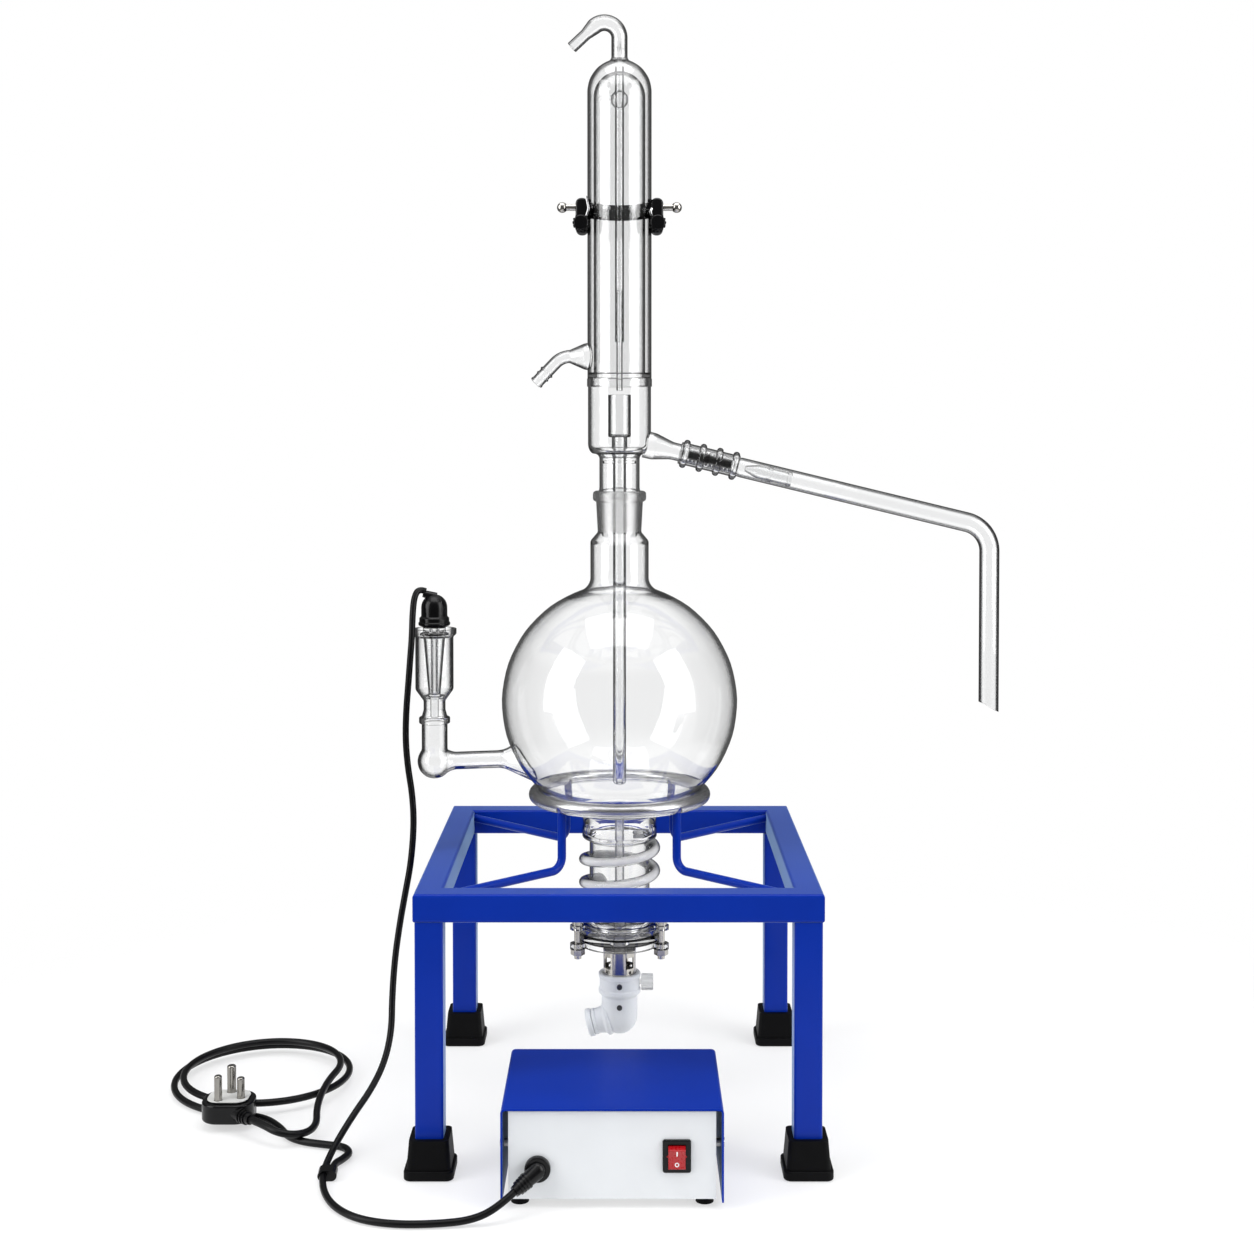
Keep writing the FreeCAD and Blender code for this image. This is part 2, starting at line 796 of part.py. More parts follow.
def flask_support():
    """Bent rods from the stand's corners, the steel ring that they carry and the cushion round it."""
    rod_z = STAND_HEIGHT - ROD_BELOW_TOP
    inside = STAND_SIDE / 2 - RAIL_SIDE
    core = Part.makeTorus(RING_R, RING_CORE_R, Vector(0, 0, RING_Z), UP)
    room = slab(rectangle(2 * inside, 2 * inside, 0), 0, RING_Z)
    rods = []
    holes = []
    for angle in (POST_ANGLE, 180 - POST_ANGLE, 180 + POST_ANGLE, -POST_ANGLE):
        post = polar(angle, RING_R)
        across, along = math.copysign(inside, post.x), math.copysign(inside, post.y)
        corner = stretched([Vector(across, along, rod_z), Vector(post.x, post.y, rod_z)], ROD_R)[0]
        points = [corner, Vector(post.x, post.y, rod_z), Vector(post.x, post.y, RING_Z)]
        rods.append(bent_rod(points, ROD_R, ROD_BEND).common(room).cut(core))
        holes.append(rod(ROD_R + SOFT_GAP, Vector(post.x, post.y, rod_z), points[-1]))
    cushion = Part.makeTorus(RING_R, RING_CUSHION_R, Vector(0, 0, RING_Z), UP)
    cushion = cushion.cut(Part.makeTorus(RING_R, RING_CORE_R + RUN_GAP, Vector(0, 0, RING_Z), UP))
    return {"support_rods": Part.makeCompound(rods), "support_ring": core,
            "ring_cushion": cushion.cut(Part.makeCompound(holes))}


def joint_radius(z):
    """The radius of the ground joint's cone at a height."""
    return JOINT_BIG_R - JOINT_TAPER * (JOINT_TOP - z)


def flask():
    """The boiling flask: socket, neck, ball, lower neck and flange, with the level limb on its left."""
    top = JOINT_TOP + SOCKET_LIP
    joint_low = JOINT_TOP - JOINT_LENGTH
    bead_low = top - SOCKET_BEAD_HEIGHT
    flange_top = FLANGE_BOTTOM + FLANGE_THICK
    upper_ball, upper_middle, upper_neck = ball_blend(BALL_R, NECK_R, NECK_FLARE, 1)
    lower_ball, lower_middle, lower_neck = ball_blend(BALL_R, FUNNEL_R, FUNNEL_FLARE, -1)
    outside = rounded([
        (0, top, 0), (SOCKET_BEAD_R, top, 2 * GLASS_ROUND), (SOCKET_BEAD_R, bead_low, 2 * GLASS_ROUND),
        (joint_radius(bead_low) + SOCKET_WALL, bead_low - GLASS_ROUND, 0),
        (joint_radius(joint_low) + SOCKET_WALL, joint_low, 2 * GLASS_ROUND),
        (NECK_R, NECK_TOP, 3 * GLASS_ROUND), (*upper_neck, 0)], closed=False)
    outside += [(*upper_ball, upper_middle), (*lower_ball, (BALL_R, BALL_Z)), (*lower_neck, lower_middle)]
    outside += rounded([
        (*lower_neck, 0), (RIM_R, RIM_TOP, GLASS_ROUND), (RIM_R, RIM_BOTTOM, 2 * GLASS_ROUND),
        (LOWER_NECK_R, RIM_BOTTOM, GLASS_ROUND), (LOWER_NECK_R, flange_top, FLANGE_FILLET),
        (FLANGE_R, flange_top, GLASS_ROUND), (FLANGE_R, FLANGE_BOTTOM, GLASS_ROUND), (0, FLANGE_BOTTOM, 0)],
        closed=False)[1:]
    bore_neck = NECK_R - BALL_WALL
    bore_funnel = FUNNEL_R - BALL_WALL
    bore_low = LOWER_NECK_R - LOWER_NECK_WALL
    inner = BALL_R - BALL_WALL
    upper_ball, upper_middle, upper_neck = ball_blend(inner, bore_neck, NECK_FLARE + BALL_WALL, 1)
    lower_ball, lower_middle, lower_neck = ball_blend(inner, bore_funnel, FUNNEL_FLARE + BALL_WALL, -1)
    inside = rounded([
        (0, top + OVER, 0), (joint_radius(top + OVER), top + OVER, 0),
        (joint_radius(joint_low), joint_low, GLASS_ROUND), (bore_neck, NECK_TOP - BALL_WALL, 3 * GLASS_ROUND),
        (*upper_neck, 0)], closed=False)
    inside += [(*upper_ball, upper_middle), (*lower_ball, (inner, BALL_Z)), (*lower_neck, lower_middle)]
    inside += rounded([
        (*lower_neck, 0), (bore_funnel, (RIM_TOP + RIM_BOTTOM) / 2, 2 * GLASS_ROUND),
        (bore_low, RIM_BOTTOM - LOWER_NECK_WALL, 2 * GLASS_ROUND), (bore_low, FLANGE_BOTTOM - OVER, 0),
        (0, FLANGE_BOTTOM - OVER, 0)], closed=False)[1:]
    limb, limb_bore = level_limb()
    return turned(outside).fuse(limb).cut(turned(inside).fuse(limb_bore))


def level_limb():
    """The solid and the bore of the level limb: flared arm, elbow bulb, riser, waist and open chamber."""
    arm_start = Vector(LIMB_X, 0, LIMB_ARM_Z)
    line = polar(LIMB_ARM_TILT, 1)
    arm_line_up = Vector(line.x, 0, line.y)
    flare_end = LIMB_ARM_LENGTH + LIMB_FLARE_LENGTH
    lip_low = CHAMBER_TOP - CHAMBER_LIP_HEIGHT
    both = []
    for wall, arm_wall, extra in ((0, 0, 0), (LIMB_WALL, LIMB_ARM_WALL, OVER)):
        arm = placed(turned(rounded([
            (0, 0, 0), (LIMB_ELBOW_R - arm_wall, 0, 0), (LIMB_ARM_R - arm_wall, LIMB_ELBOW_LENGTH, LIMB_ELBOW_BEND),
            (LIMB_ARM_R - arm_wall, LIMB_ARM_LENGTH + LIMB_FLARE_LENGTH / 3, LIMB_FLARE_BEND),
            (LIMB_FLARE_R - arm_wall, flare_end, 2 * GLASS_ROUND),
            (LIMB_FLARE_R - arm_wall, flare_end + LIMB_FLARE_TAIL + extra, 0),
            (0, flare_end + LIMB_FLARE_TAIL + extra, 0)])), arm_start, arm_line_up)
        bead = GLASS_ROUND if wall == 0 else 0
        bead_r = LIMB_BEAD_R if wall == 0 else LIMB_R - wall
        riser = turned(rounded([
            (0, LIMB_ARM_Z, 0), (LIMB_R - wall, LIMB_ARM_Z, 0),
            (LIMB_R - wall, LIMB_BEAD_Z - LIMB_BEAD_HALF - TINY, 0),
            (bead_r + TINY, LIMB_BEAD_Z - LIMB_BEAD_HALF, bead), (bead_r + TINY, LIMB_BEAD_Z + LIMB_BEAD_HALF, bead),
            (LIMB_R - wall - TINY, LIMB_BEAD_Z + LIMB_BEAD_HALF + TINY, 0),
            (LIMB_NECK_R - wall, LIMB_NECK_LOW, 2 * GLASS_ROUND),
            (LIMB_NECK_R - wall, LIMB_NECK_HIGH, 2 * GLASS_ROUND),
            (CHAMBER_R - wall, CHAMBER_LOW, 3 * GLASS_ROUND), (CHAMBER_R - wall, lip_low, GLASS_ROUND),
            (CHAMBER_LIP_R - 2 * wall, lip_low + 2 * GLASS_ROUND, GLASS_ROUND),
            (CHAMBER_LIP_R - 2 * wall, CHAMBER_TOP + extra, GLASS_ROUND * (1 - extra)),
            (0, CHAMBER_TOP + extra, 0)]), x=LIMB_X)
        bulb = Part.makeSphere(LIMB_BULB_R - wall, Vector(LIMB_X, 0, LIMB_BULB_Z))
        both.append(riser.fuse([bulb, arm]))
    return both


def cap_boss():
    """The ends of the boss on the probe's cap that the lead comes out of."""
    tilt = math.radians(CAP_BOSS_TILT)
    line = Vector(-math.cos(tilt), 0, math.sin(tilt))
    start = Vector(LIMB_X + CAP_BOSS_IN, 0, CAP_TOP - CAP_BOSS_BELOW)
    return start, start + line * CAP_BOSS_LENGTH, line


def level_probe():
    """The level probe that stands in the limb's chamber: sheath, electrodes, disc, stopper and cap."""
    sheath_bore = [SHEATH_TOP_R - SHEATH_WALL, SHEATH_LOW_R - SHEATH_WALL]
    sheath = turned(rounded([
        (0, SHEATH_TIP_Z, 0), (SHEATH_STEM_R, SHEATH_TIP_Z, GLASS_ROUND),
        (SHEATH_STEM_R, SHEATH_BEAD_Z - SHEATH_BEAD_HALF, 0),
        (SHEATH_BEAD_R, SHEATH_BEAD_Z - SHEATH_BEAD_HALF, SHEATH_BEAD_HALF / 2),
        (SHEATH_BEAD_R, SHEATH_BEAD_Z + SHEATH_BEAD_HALF, SHEATH_BEAD_HALF / 2),
        (SHEATH_LOW_R, SHEATH_BEAD_Z + SHEATH_BEAD_HALF, 0), (SHEATH_LOW_R, SHEATH_LOW_Z, 0),
        (SHEATH_TOP_R, DISC_Z, 0), (sheath_bore[0], DISC_Z, 0), (sheath_bore[1], SHEATH_LOW_Z, 0),
        (sheath_bore[1], ELECTRODE_LOW, GLASS_ROUND), (0, ELECTRODE_LOW, 0)]), x=LIMB_X)
    disc_top = DISC_Z + DISC_THICK
    electrodes = []
    holes = []
    for way in (-1, 1):
        foot_point = Vector(LIMB_X + way * ELECTRODE_APART, 0, ELECTRODE_LOW)
        top_point = Vector(foot_point.x, 0, CAP_Z + CAP_COLLAR_HEIGHT)
        electrodes.append(rod(ELECTRODE_R, foot_point, top_point))
        holes.append(rod(ELECTRODE_R + RUN_GAP, foot_point, top_point))
    passage = Part.makeCompound(holes)
    disc = turned(rounded([(0, DISC_Z, 0), (DISC_R, DISC_Z, 0), (DISC_R, disc_top, DISC_THICK / 3),
                           (0, disc_top, 0)]), x=LIMB_X)
    waist = (disc_top + CAP_Z) / 2
    stopper = turned(rounded([
        (0, disc_top, 0), (STOPPER_R, disc_top, GLASS_ROUND / 2), (STOPPER_WAIST_R, waist, GLASS_ROUND),
        (STOPPER_R, CAP_Z, 0), (0, CAP_Z, 0)]), x=LIMB_X)
    collar_top = CAP_Z + CAP_COLLAR_HEIGHT
    cavity_r = STOPPER_WAIST_R - CAP_WALL
    dome_z = CAP_TOP - CAP_DOME_R
    lean = math.sqrt(HALF_SHARE)
    shell = turned([
        (cavity_r, CAP_Z, None), (CAP_COLLAR_R, CAP_Z, None), (CAP_COLLAR_R, collar_top, None),
        (CAP_DOME_R, collar_top + GLASS_ROUND, None), (CAP_DOME_R, dome_z, None),
        (0, CAP_TOP, (CAP_DOME_R * lean, dome_z + CAP_DOME_R * lean)), (0, collar_top, None),
        (cavity_r, collar_top, None)], x=LIMB_X)
    start, end, _ = cap_boss()
    cap = shell.fuse(rod(CAP_BOSS_R, start, end))
    return {"probe_sheath": sheath, "electrodes": Part.makeCompound(electrodes),
            "probe_stopper": stopper.fuse(disc).cut(passage), "probe_cap": cap}


def arm_line():
    """The direction in which the vapour head's side arm slopes down."""
    slope = math.radians(ARM_SLOPE)
    return Vector(math.cos(slope), 0, -math.sin(slope))


def arm_point(distance):
    """The point at a distance along the side arm's centre line."""
    return Vector(ARM_X, 0, ARM_Z) + arm_line() * distance


def on_arm(nodes):
    """An outline turned round the side arm's centre line, with its heights measured along the arm."""
    return placed(turned(nodes), arm_point(0), arm_line())


def vapour_head():
    """The vapour head: wide body, neck, ground cone and sloping side arm."""
    cone_top = JOINT_TOP + SOCKET_LIP
    cone_low = JOINT_TOP - JOINT_LENGTH
    bore = HEAD_NECK_R - HEAD_NECK_WALL
    lip_low = HEAD_TOP - HEAD_LIP_HEIGHT
    body = turned(rounded([
        (0, cone_low - HEAD_DRIP, 0), (bore + OVER, cone_low - HEAD_DRIP, 0),
        (joint_radius(cone_low) - RUN_GAP, cone_low, 0), (joint_radius(cone_top) - RUN_GAP, cone_top, 0),
        (HEAD_NECK_R, cone_top + HEAD_CONE_STEP, 0), (HEAD_NECK_R, HEAD_BASE, HEAD_SHOULDER / 2),
        (HEAD_R, HEAD_BASE, HEAD_SHOULDER), (HEAD_R, lip_low, 0), (HEAD_LIP_R, lip_low + OVER, 0),
        (HEAD_LIP_R, HEAD_TOP, GLASS_ROUND / 2), (0, HEAD_TOP, 0)]))
    cavity = turned(rounded([
        (0, cone_low - HEAD_DRIP - OVER, 0), (bore, cone_low - HEAD_DRIP - OVER, 0),
        (bore, HEAD_BASE + HEAD_WALL, HEAD_SHOULDER / 2),
        (HEAD_R - HEAD_WALL, HEAD_BASE + HEAD_WALL, HEAD_SHOULDER - HEAD_WALL),
        (HEAD_R - HEAD_WALL, HEAD_TOP + OVER, 0), (0, HEAD_TOP + OVER, 0)]))
    arms = []
    for wall, extra in ((0, 0), (ARM_WALL, OVER)):
        arms.append(on_arm(rounded([
            (0, 0, 0), (ARM_FLARE_R - wall, 0, 0), (ARM_FLARE_R - wall, ARM_FLARE_LENGTH / 3, 2 * ARM_R),
            (ARM_R - wall, ARM_FLARE_LENGTH, 2 * ARM_R), (ARM_R - wall, ARM_LENGTH + extra, 0),
            (0, ARM_LENGTH + extra, 0)])))
    return body.fuse(arms[0]).cut(cavity.fuse(arms[1]))


def feed_tube():
    """The open cup that catches warm water, and the long tube that leads it down into the flask."""
    tube_bore = FEED_R - FEED_WALL
    tube = turned(rounded([
        (FEED_TIP_BORE_R, FEED_TIP_Z, 0), (FEED_R, FEED_TIP_Z, FEED_R / 2), (FEED_R, CUP_STUB_BOTTOM, 0),
        (CUP_STUB_R, CUP_STUB_BOTTOM + GLASS_ROUND, 0), (CUP_STUB_R, CUP_BOTTOM, 0),
        (CUP_R, CUP_BOTTOM, GLASS_ROUND), (CUP_R, CUP_TOP, 0), (CUP_R - CUP_WALL, CUP_TOP, 0),
        (CUP_R - CUP_WALL, CUP_BOTTOM + CUP_WALL, GLASS_ROUND), (tube_bore, CUP_BOTTOM + CUP_WALL, 0),
        (tube_bore, FEED_TIP_Z + FEED_R, 0), (FEED_TIP_BORE_R, FEED_TIP_Z + FEED_WALL, 0)]))
    reach = HEAD_NECK_R - HEAD_NECK_WALL - SOFT_GAP
    start = FEED_R - FEED_WALL / 2
    for i in range(PRONG_COUNT):
        angle = 90 + 360 / PRONG_COUNT * i
        tube = tube.fuse(rod(PRONG_R, polar(angle, start, PRONG_Z), polar(angle, reach, PRONG_Z)))
    return tube


def condenser_jacket():
    """The condenser's outer glass: domed jacket, foot spigot, water inlet with a barb, and outlet hook."""
    spigot_out = HEAD_R - HEAD_WALL - SOFT_GAP
    inside = JACKET_R - JACKET_WALL
    ledge = INNER_R - BASE_LEDGE
    lean = math.sqrt(HALF_SHARE)
    body = turned([
        (0, HEAD_TOP, None), (spigot_out - SPIGOT_WALL, HEAD_TOP, None),
        (spigot_out - SPIGOT_WALL, HEAD_TOP - SPIGOT_HEIGHT, None), (spigot_out, HEAD_TOP - SPIGOT_HEIGHT, None),
        (spigot_out, HEAD_TOP, None), (JACKET_R, HEAD_TOP, None), (JACKET_R, JACKET_DOME_Z, None),
        (0, JACKET_DOME_Z + JACKET_R, (JACKET_R * lean, JACKET_DOME_Z + JACKET_R * lean))])
    foot_bore = Part.makeCylinder(ledge, JACKET_BASE + 2 * OVER, Vector(0, 0, HEAD_TOP - OVER))
    cavity = turned([
        (0, HEAD_TOP + JACKET_BASE, None), (inside, HEAD_TOP + JACKET_BASE, None), (inside, JACKET_DOME_Z, None),
        (0, JACKET_DOME_Z + inside, (inside * lean, JACKET_DOME_Z + inside * lean))])
    turn = math.radians(HOOK_TURN)
    reach = HOOK_BEND * math.tan(turn / 4)
    middle = Vector(-math.sin(turn / 2), 0, math.cos(turn / 2))
    down = Vector(-math.sin(turn), 0, math.cos(turn))
    start = Vector(0, 0, JACKET_DOME_Z + inside - OVER)
    first = Vector(0, 0, HOOK_RISE_Z + reach)
    second = first + middle * (2 * reach)
    knee = second + down * (reach + OVER)
    hook = bent_rod([start, first, second, knee], HOOK_R, HOOK_BEND)
    hook_bore = bent_rod([start - UP * OVER, first, second, knee], HOOK_R - HOOK_WALL, HOOK_BEND)
    end_bore = HOOK_END_R - HOOK_WALL
    waist = knee + down * HOOK_TAPER
    spout = Part.makeCone(HOOK_R, HOOK_END_R, HOOK_TAPER, knee, down)
    spout_bore = Part.makeCone(HOOK_R - HOOK_WALL, end_bore, HOOK_TAPER, knee, down)
    mouth = rod(end_bore, waist, waist + down * (HOOK_PLAIN + OVER))
    solid = body.fuse([hook, spout, rod(HOOK_END_R, waist, waist + down * HOOK_PLAIN)])
    seam_z = JACKET_DOME_Z + math.sqrt(JACKET_R ** 2 - HOOK_R ** 2)
    seam = [e for e in solid.Edges if abs(e.BoundBox.ZMin - seam_z) < RUN_GAP and e.BoundBox.ZLength < RUN_GAP]
    solid = solid.makeFillet(HOOK_FILLET, seam)
    nozzle, nozzle_bore = water_inlet(inside)
    return solid.fuse(nozzle).cut(cavity.fuse([foot_bore, hook_bore, spout_bore, mouth, nozzle_bore]))


def water_inlet(inside):
    """The solid and the bore of the water inlet: a wide root, a bend down to the left and a barb."""
    root = Vector(-inside + OVER, 0, INLET_Z)
    waist = Vector(INLET_WAIST_X, 0, INLET_Z)
    knee = Vector(INLET_KNEE_X, 0, INLET_Z)
    end = Vector(INLET_END_X, 0, INLET_END_Z)
    pipe = bent_rod([waist, knee, end], INLET_R, INLET_BEND)
    beyond = end + unit(end - knee) * OVER
    pipe_bore = bent_rod([waist, knee, beyond], INLET_R - INLET_WALL, INLET_BEND)
    length = (waist - root).Length
    roots = []
    for wall, extra in ((0, 0), (INLET_WALL, OVER)):
        roots.append(placed(turned(rounded([
            (0, -extra, 0), (INLET_BASE_R - wall, -extra, 0), (INLET_BASE_R - wall, length / 4, 2 * INLET_R),
            (INLET_R - wall, length, 0), (0, length, 0)])), root, Vector(-1, 0, 0)))
    along = unit(end - knee)
    barb = placed(turned(rounded([
        (0, -BARB_HALF, 0), (INLET_R, -BARB_HALF, 0), (BARB_R, 0, BARB_HALF / 2), (INLET_R, BARB_HALF, 0),
        (0, BARB_HALF, 0)])), end - along * BARB_FROM_END, along)
    return pipe.fuse([roots[0], barb]), pipe_bore.fuse(roots[1])


def condenser_inside():
    """The condenser's inner tube, the water downcomer through its dome, the drip tube and the vent."""
    base = HEAD_TOP + JACKET_BASE
    bore = INNER_R - INNER_WALL
    lean = math.sqrt(HALF_SHARE)
    solid = turned([
        (bore, base, None), (INNER_R, base, None), (INNER_R, INNER_DOME_Z, None),
        (0, INNER_DOME_Z + INNER_R, (INNER_R * lean, INNER_DOME_Z + INNER_R * lean)),
        (0, INNER_DOME_Z + bore, None), (bore, INNER_DOME_Z, (bore * lean, INNER_DOME_Z + bore * lean))])
    passage = Part.makeCylinder(CORE_R + RUN_GAP, INNER_R, Vector(0, 0, INNER_DOME_Z + bore / 2))
    core = turned(rounded([
        (CORE_BORE_R, CORE_BOTTOM, 0), (CORE_R, CORE_BOTTOM, 0), (CORE_R, TEE_LOW, 0),
        (TEE_R, TEE_LOW + CORE_R, CORE_R), (TEE_R, TEE_HIGH - CORE_R, CORE_R), (CORE_R, TEE_HIGH, 0),
        (CORE_R, CORE_TOP, 0), (CORE_BORE_R, CORE_TOP, 0)]))
    drip = turned(rounded([
        (DRIP_BORE_R, DRIP_BOTTOM, 0), (DRIP_R, DRIP_BOTTOM, 0), (DRIP_R, DRIP_TOP, 0),
        (DRIP_BORE_R, DRIP_TOP, 0)]))
    points = [Vector(-CORE_R, 0, VENT_Z), Vector(VENT_X, 0, VENT_Z), Vector(VENT_X, 0, VENT_BOTTOM)]
    vent = bent_rod(points, VENT_R, VENT_BEND)
    return {"condenser_tube": solid.cut(passage), "water_downcomer": core.fuse(vent), "drip_tube": drip}


def coupling():
    """The ribbed coupling sleeve on the side arm, and the dark bush inside it."""
    ring_from = SLEEVE_START + SLEEVE_RING_FIRST
    sleeve = on_arm(rounded([
        (ARM_R + RUN_GAP, SLEEVE_START, 0), (SLEEVE_R, SLEEVE_START, 0), (SLEEVE_R, SLEEVE_START + SLEEVE_LENGTH, 0),
        (ARM_R + RUN_GAP, SLEEVE_START + SLEEVE_LENGTH, 0)]))
    rings = []
    for i in range(SLEEVE_RING_COUNT):
        centre = arm_point(ring_from + SLEEVE_RING_STEP * i)
        rings.append(Part.makeTorus(SLEEVE_R, SLEEVE_RING_R, centre, arm_line()))
    bore = rod(ARM_R + RUN_GAP, arm_point(SLEEVE_START - OVER), arm_point(SLEEVE_START + SLEEVE_LENGTH + OVER))
    bush_r = ARM_R - ARM_WALL - RUN_GAP
    bush = on_arm(rounded([
        (bush_r - BUSH_WALL, BUSH_START, 0), (bush_r, BUSH_START, BUSH_WALL / 3),
        (bush_r, BUSH_START + BUSH_LENGTH, BUSH_WALL / 3), (bush_r - BUSH_WALL, BUSH_START + BUSH_LENGTH, 0)]))
    return {"coupling_sleeve": sleeve.fuse(rings).cut(bore), "coupling_bush": bush}


def delivery():
    """The delivery tube, cut aslant at its lower end, and the small tip inside it."""
    stub_r = ARM_R
    turn_point = arm_point((DELIVERY_DROP_X - ARM_X) / arm_line().x)
    end = Vector(DELIVERY_DROP_X, 0, DELIVERY_END_Z)
    shoulder = arm_point(DELIVERY_SHOULDER)
    low = end - UP * (DELIVERY_R + DELIVERY_CUT_RISE)
    pipe, pipe_bore = bent_tube([shoulder, turn_point, low], DELIVERY_R, DELIVERY_WALL, DELIVERY_BEND)
    step = DELIVERY_R - stub_r
    stub = on_arm([(0, DELIVERY_START, None), (stub_r, DELIVERY_START, None),
                   (stub_r, DELIVERY_SHOULDER - step, None), (DELIVERY_R, DELIVERY_SHOULDER, None),
                   (DELIVERY_R, DELIVERY_SHOULDER + OVER, None), (0, DELIVERY_SHOULDER + OVER, None)])
    stub_bore = rod(stub_r - ARM_WALL, arm_point(DELIVERY_START - OVER), arm_point(DELIVERY_SHOULDER + OVER))
    lean = math.degrees(math.atan(DELIVERY_CUT_RISE / DELIVERY_R))
    block = Part.makeBox(4 * DELIVERY_R, 4 * DELIVERY_R, 2 * DELIVERY_BEND)
    block.translate(Vector(-2 * DELIVERY_R, -2 * DELIVERY_R, -2 * DELIVERY_BEND))
    block.rotate(Vector(), Vector(0, 1, 0), lean)
    block.translate(end)
    tube = pipe.fuse(stub).cut(pipe_bore.fuse(stub_bore)).cut(block)
    reach = DELIVERY_R - DELIVERY_WALL / 2
    tip = on_arm(rounded([
        (TIP_START_R - TIP_WALL, TIP_START, 0), (TIP_START_R, TIP_START, 0), (TIP_R, TIP_MOUTH, TIP_R),
        (TIP_R, TIP_END - 2 * TIP_RING_HALF, 0), (reach, TIP_END - TIP_RING_HALF, TIP_WALL),
        (TIP_R, TIP_END, 0), (TIP_R - TIP_WALL, TIP_END, 0), (TIP_R - TIP_WALL, TIP_MOUTH, TIP_R)]))
    return {"delivery_tube": tube.fuse(tip)}


def heater_spiral():
    """The glass-covered heater that winds up round the lower neck, its lower end turned down."""
    radius = LOWER_NECK_R + SPIRAL_NECK_GAP + SPIRAL_TUBE_R
    corners = helix_corners(radius, SPIRAL_LOW_Z, SPIRAL_PITCH, 0, SPIRAL_START, SPIRAL_EIGHTHS, 1)
    reach = radius * math.tan(math.pi / EIGHTHS)
    entry = unit(polar(SPIRAL_START, radius).cross(UP))
    low_bend = polar(SPIRAL_START, radius, corners[0].z) + entry * SPIRAL_END_BEND
    low_end = low_bend - UP * (SPIRAL_END_BEND + 2 * SPIRAL_TUBE_R)
    side = unit(corners[-1] - corners[-2])
    end_angle = SPIRAL_START + 360 * SPIRAL_EIGHTHS / EIGHTHS
    exit_line = unit(UP.cross(polar(end_angle, radius)))
    high_end = corners[-1] + exit_line * (reach + 2 * SPIRAL_TUBE_R)
    points = [low_end, low_bend, *corners, high_end]
    sides = [(b - a).Length for a, b in zip(points, points[1:])]
    reaches = [SPIRAL_END_BEND, *[min(reach, s / 2) for s in sides[2:-1]], min(reach, sides[-2] / 2)]
    solid = swept(bent_wire(points, reaches), points, SPIRAL_TUBE_R)
    gap = least_coil_gap(radius, 0, SPIRAL_PITCH, 0, SPIRAL_TUBE_R, SPIRAL_EIGHTHS / EIGHTHS)
    print("heater_coil least gap to itself", round(gap, 2))
    return solid


def bottom_closure():
    """Everything that closes the lower neck: gasket, plate, rings, studs, drain tube and slotted adapter."""
    plate_top = FLANGE_BOTTOM - GASKET_THICK
    ring_top = plate_top - PLATE_THICK
    ring_low = ring_top - CLAMP_THICK
    backing_low = FLANGE_BOTTOM + FLANGE_THICK
    backing_top = backing_low + BACKING_THICK
    studs = []
    holes = []
    lugs = []
    for angle in STUD_ANGLES:
        spot = polar(angle, STUD_CIRCLE_R)
        shank = Part.makeCylinder(STUD_R, STUD_TOP - STUD_BOTTOM, spot + UP * STUD_BOTTOM)
        head = Part.makeCylinder(STUD_HEAD_R, STUD_HEAD_HEIGHT, spot + UP * backing_top)
        nut = hexagon(NUT_FLATS, ring_low - NUT_HEIGHT, ring_low)
        nut.translate(spot)
        studs.append(shank.fuse([head, nut]))
        holes.append(Part.makeCylinder(STUD_R + RUN_GAP, STUD_TOP, spot))
        lugs.append(Part.makeCylinder(LUG_R, STUD_TOP, spot))
    drills = Part.makeCompound(holes)
    rings = {}
    for name, bore, outer, low, high in (("clamp_ring", CLAMP_BORE_R, CLAMP_R, ring_low, ring_top),
                                         ("backing_ring", BACKING_BORE_R, FLANGE_R, backing_low, backing_top)):
        room = Part.makeCylinder(STUD_CIRCLE_R + LUG_R, high - low, UP * low)
        ring = Part.makeCylinder(outer, high - low, UP * low).fuse([lug.common(room) for lug in lugs])
        rings[name] = ring.cut(Part.makeCylinder(bore, high, Vector())).cut(drills).removeSplitter()
    gasket = turned(rounded([(GASKET_BORE_R, plate_top, 0), (FLANGE_R, plate_top, 0), (FLANGE_R, FLANGE_BOTTOM, 0),
                             (GASKET_BORE_R, FLANGE_BOTTOM, 0)]))
    plate = turned(rounded([
        (DRAIN_R + RUN_GAP, ring_top, 0), (FLANGE_R, ring_top, 0), (FLANGE_R, plate_top, 0),
        (DRAIN_R + RUN_GAP, plate_top, 0)]))
    tube = turned(rounded([
        (DRAIN_R - DRAIN_WALL, DRAIN_BOTTOM, 0), (DRAIN_R, DRAIN_BOTTOM, 0), (DRAIN_R, DRAIN_STEP_Z, DRAIN_WALL),
        (DRAIN_UPPER_R, DRAIN_STEP_Z + DRAIN_WALL, 0), (DRAIN_UPPER_R, DRAIN_TOP, 0),
        (DRAIN_UPPER_R - DRAIN_WALL, DRAIN_TOP, 0), (DRAIN_UPPER_R - DRAIN_WALL, DRAIN_STEP_Z, 0),
        (DRAIN_R - DRAIN_WALL, DRAIN_STEP_Z - DRAIN_WALL, 0)]))
    pieces = {"flange_gasket": gasket, "closure_plate": plate, **rings, "flange_studs": Part.makeCompound(studs),
              "drain_tube": tube, "adapter_sleeve": adapter_sleeve()}
    return pieces


